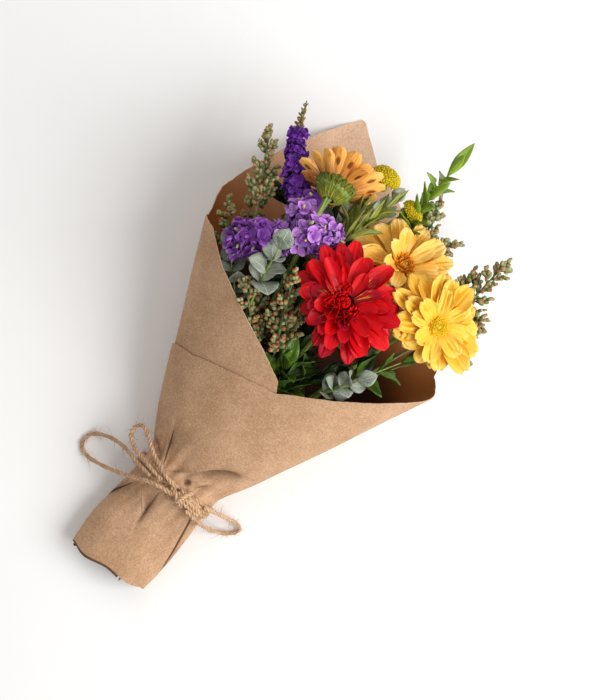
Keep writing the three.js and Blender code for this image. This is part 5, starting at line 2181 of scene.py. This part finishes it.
def sprays() -> list[Greenery]:
    """The bud sprays."""
    # Name, base, tips, twigs on each stem, reach.
    return seeded([
        BudSpray("bud_spray_tall", (-101, 236, 104), ((-136, 295, 95), (-118, 268, 84)), 14, 20),
        BudSpray(
            "bud_spray_front", (-8, 150, 112), ((-36, 210, 147), (-34, 198, 126), (-14, 190, 114)), 9, 24,
        ),
        BudSpray(
            "bud_spray_rim", (-22, 140, 104), ((-62, 178, 134), (-50, 175, 110), (-76, 200, 102)), 8, 23,
        ),
        BudSpray(
            "bud_spray_right", (96, 268, 88), ((99, 341, 88), (84, 314, 80), (112, 286, 84)), 15, 24,
        ),
        BudSpray("bud_spray_upper", (34, 304, 72), ((20, 344, 70), (52, 326, 62)), 9, 15),
        BudSpray(
            "bud_spray_left", (-96, 186, 82), ((-122, 222, 84), (-112, 250, 76), (-84, 232, 84)), 10, 18,
        ),
    ], SPRAY_SEED)


def sprigs() -> list[Greenery]:
    """The leafy sprigs."""
    # Name, base, tips, kind, pairs on each stem, length and half width of a leaf.
    return seeded([
        Sprig("eucalyptus_front", (-56, 188, 134), ((-62, 222, 154),), Kind.SILVER, 3, 25, 12),
        Sprig("eucalyptus_rim", (48, 150, 104), ((65, 179, 122),), Kind.SILVER, 4, 23, 9.2),
        Sprig("eucalyptus_left", (-60, 160, 104), ((-98, 196, 116),), Kind.SILVER, 5, 24, 8.2),
        Sprig("eucalyptus_top", (-16, 296, 84), ((-14, 322, 98),), Kind.SILVER, 3, 19, 8.2),
        Sprig(
            "eucalyptus_right", (65.3, 120, 65.5), ((128, 252, 92),), Kind.SILVER, 1, 16, 5.6, stem=1.0,
            stem_finish=TWIG, bow=(-20.0, 10.0, 0.0),
        ),
        Sprig("eucalyptus_low", (-30, 250, 44), ((-46, 318, 38),), Kind.SILVER, 6, 22, 8.2),
        Sprig(
            "leafy_sprig", (30.8, 250, 67.4), ((9, 375, 84),), Kind.FRESH, 9, 42, 6.0, spread=0.78,
            end=0.92, stem_finish=RED_STEM, buds=26, first=0.44, bow=(-5.5, -4.6, 0.0), turns=(0.3, -0.6),
        ),
        Sprig(
            "narrow_foliage", (-24, 262, 122), ((-14, 310, 127), (-32, 304, 116)), Kind.LIME, 5, 34, 3.6,
            spread=1.6,
        ),
        Sprig(
            "dark_foliage_front", (16, 118, 88),
            ((8, 144, 106), (-12, 160, 92), (36, 156, 88), (4, 180, 84)), Kind.DARK, 5, 46, 9.6,
        ),
        Sprig("dark_foliage_right", (62, 176, 98), ((84, 216, 110), (42, 196, 84)), Kind.DARK, 2, 38, 7.2),
        Sprig(
            "dark_foliage_middle", (-14, 196, 90),
            ((-14, 234, 108), (-60, 240, 90), (30, 236, 84), (-44, 214, 76), (24, 200, 70)),
            Kind.DARK, 4, 46, 9,
        ),
        Sprig(
            "dark_foliage_low", (10, 240, 40),
            ((8, 292, 34), (-60, 290, 46), (66, 262, 44), (-90, 262, 50)), Kind.DARK, 5, 44, 9,
        ),
    ], SPRIG_SEED)


# The studio.
@dataclass(frozen=True)
class Lamp:
    """A soft square light that looks at the bouquet."""

    place: Triple
    power: float
    size: float
    colour: Colour = (1.0, 1.0, 1.0)


@dataclass
class Studio:
    """A pale floor, soft lights and a camera that looks straight down."""

    height: float = 1.567
    centre: Pair = (0.00895, 0.0144)
    roll: float = 40.0
    lens: float = 85.0
    sensor: float = 36.0
    floor_size: float = 8.0
    floor_drop: float = 0.0002
    sky: float = 0.44
    sky_colour: Colour = (1.0, 0.95, 0.89)
    lamps: tuple[Lamp, ...] = (
        Lamp((1.35, 0.4, 1.25), 42.0, 1.4, (1.0, 0.985, 0.96)),
        Lamp((-1.0, 0.9, 1.6), 7.0, 1.6),
    )

    def build(self) -> None:
        """Makes the floor, the lights, the sky and the camera."""
        deselect()
        bpy.ops.mesh.primitive_plane_add(size=self.floor_size, location=(0.0, 0.0, -self.floor_drop))
        floor = bpy.context.object
        floor.name = "floor"
        paint(floor, FloorFinish())
        for i, lamp in enumerate(self.lamps):
            data = bpy.data.lights.new(f"lamp_{i}", "AREA")
            data.energy = lamp.power
            data.size = lamp.size
            data.color = lamp.colour
            piece = linked(f"lamp_{i}", data)
            piece.location = lamp.place
            piece.rotation_euler = (-Vector(lamp.place)).to_track_quat("-Z", "Y").to_euler()
        world = bpy.data.worlds.new("sky")
        bpy.context.scene.world = world
        world.use_nodes = True
        sky = world.node_tree.nodes["Background"]
        sky.inputs["Color"].default_value = (*self.sky_colour, 1.0)
        sky.inputs["Strength"].default_value = self.sky
        data = bpy.data.cameras.new("camera")
        data.lens = self.lens
        data.sensor_width = self.sensor
        camera = linked("camera", data)
        camera.location = (*self.centre, self.height)
        camera.rotation_euler = (0.0, 0.0, math.radians(self.roll))
        bpy.context.scene.camera = camera
        bpy.context.scene.view_settings.view_transform = "Standard"


def main() -> None:
    """Builds the bouquet piece by piece, then the studio."""
    logging.basicConfig(level=logging.INFO, format="%(name)s: %(message)s")
    WRAP.build()
    Twine().build()
    for bloom in blooms():
        bloom.build()
    ButtonFlower("button_flower_left", (-31, 326, 116), (-0.08, 0.92, 0.36), 14, flat=0.62).build()
    ButtonFlower("button_flower_right", (4, 322, 78), (0.42, 0.82, 0.3), 12, seed=5).build()
    for head in lilacs():
        head.build()
    Spike().build()
    for piece in [*sprays(), *sprigs()]:
        piece.build()
    Kit.clear()
    Studio().build()


if __name__ == "__main__":
    main()
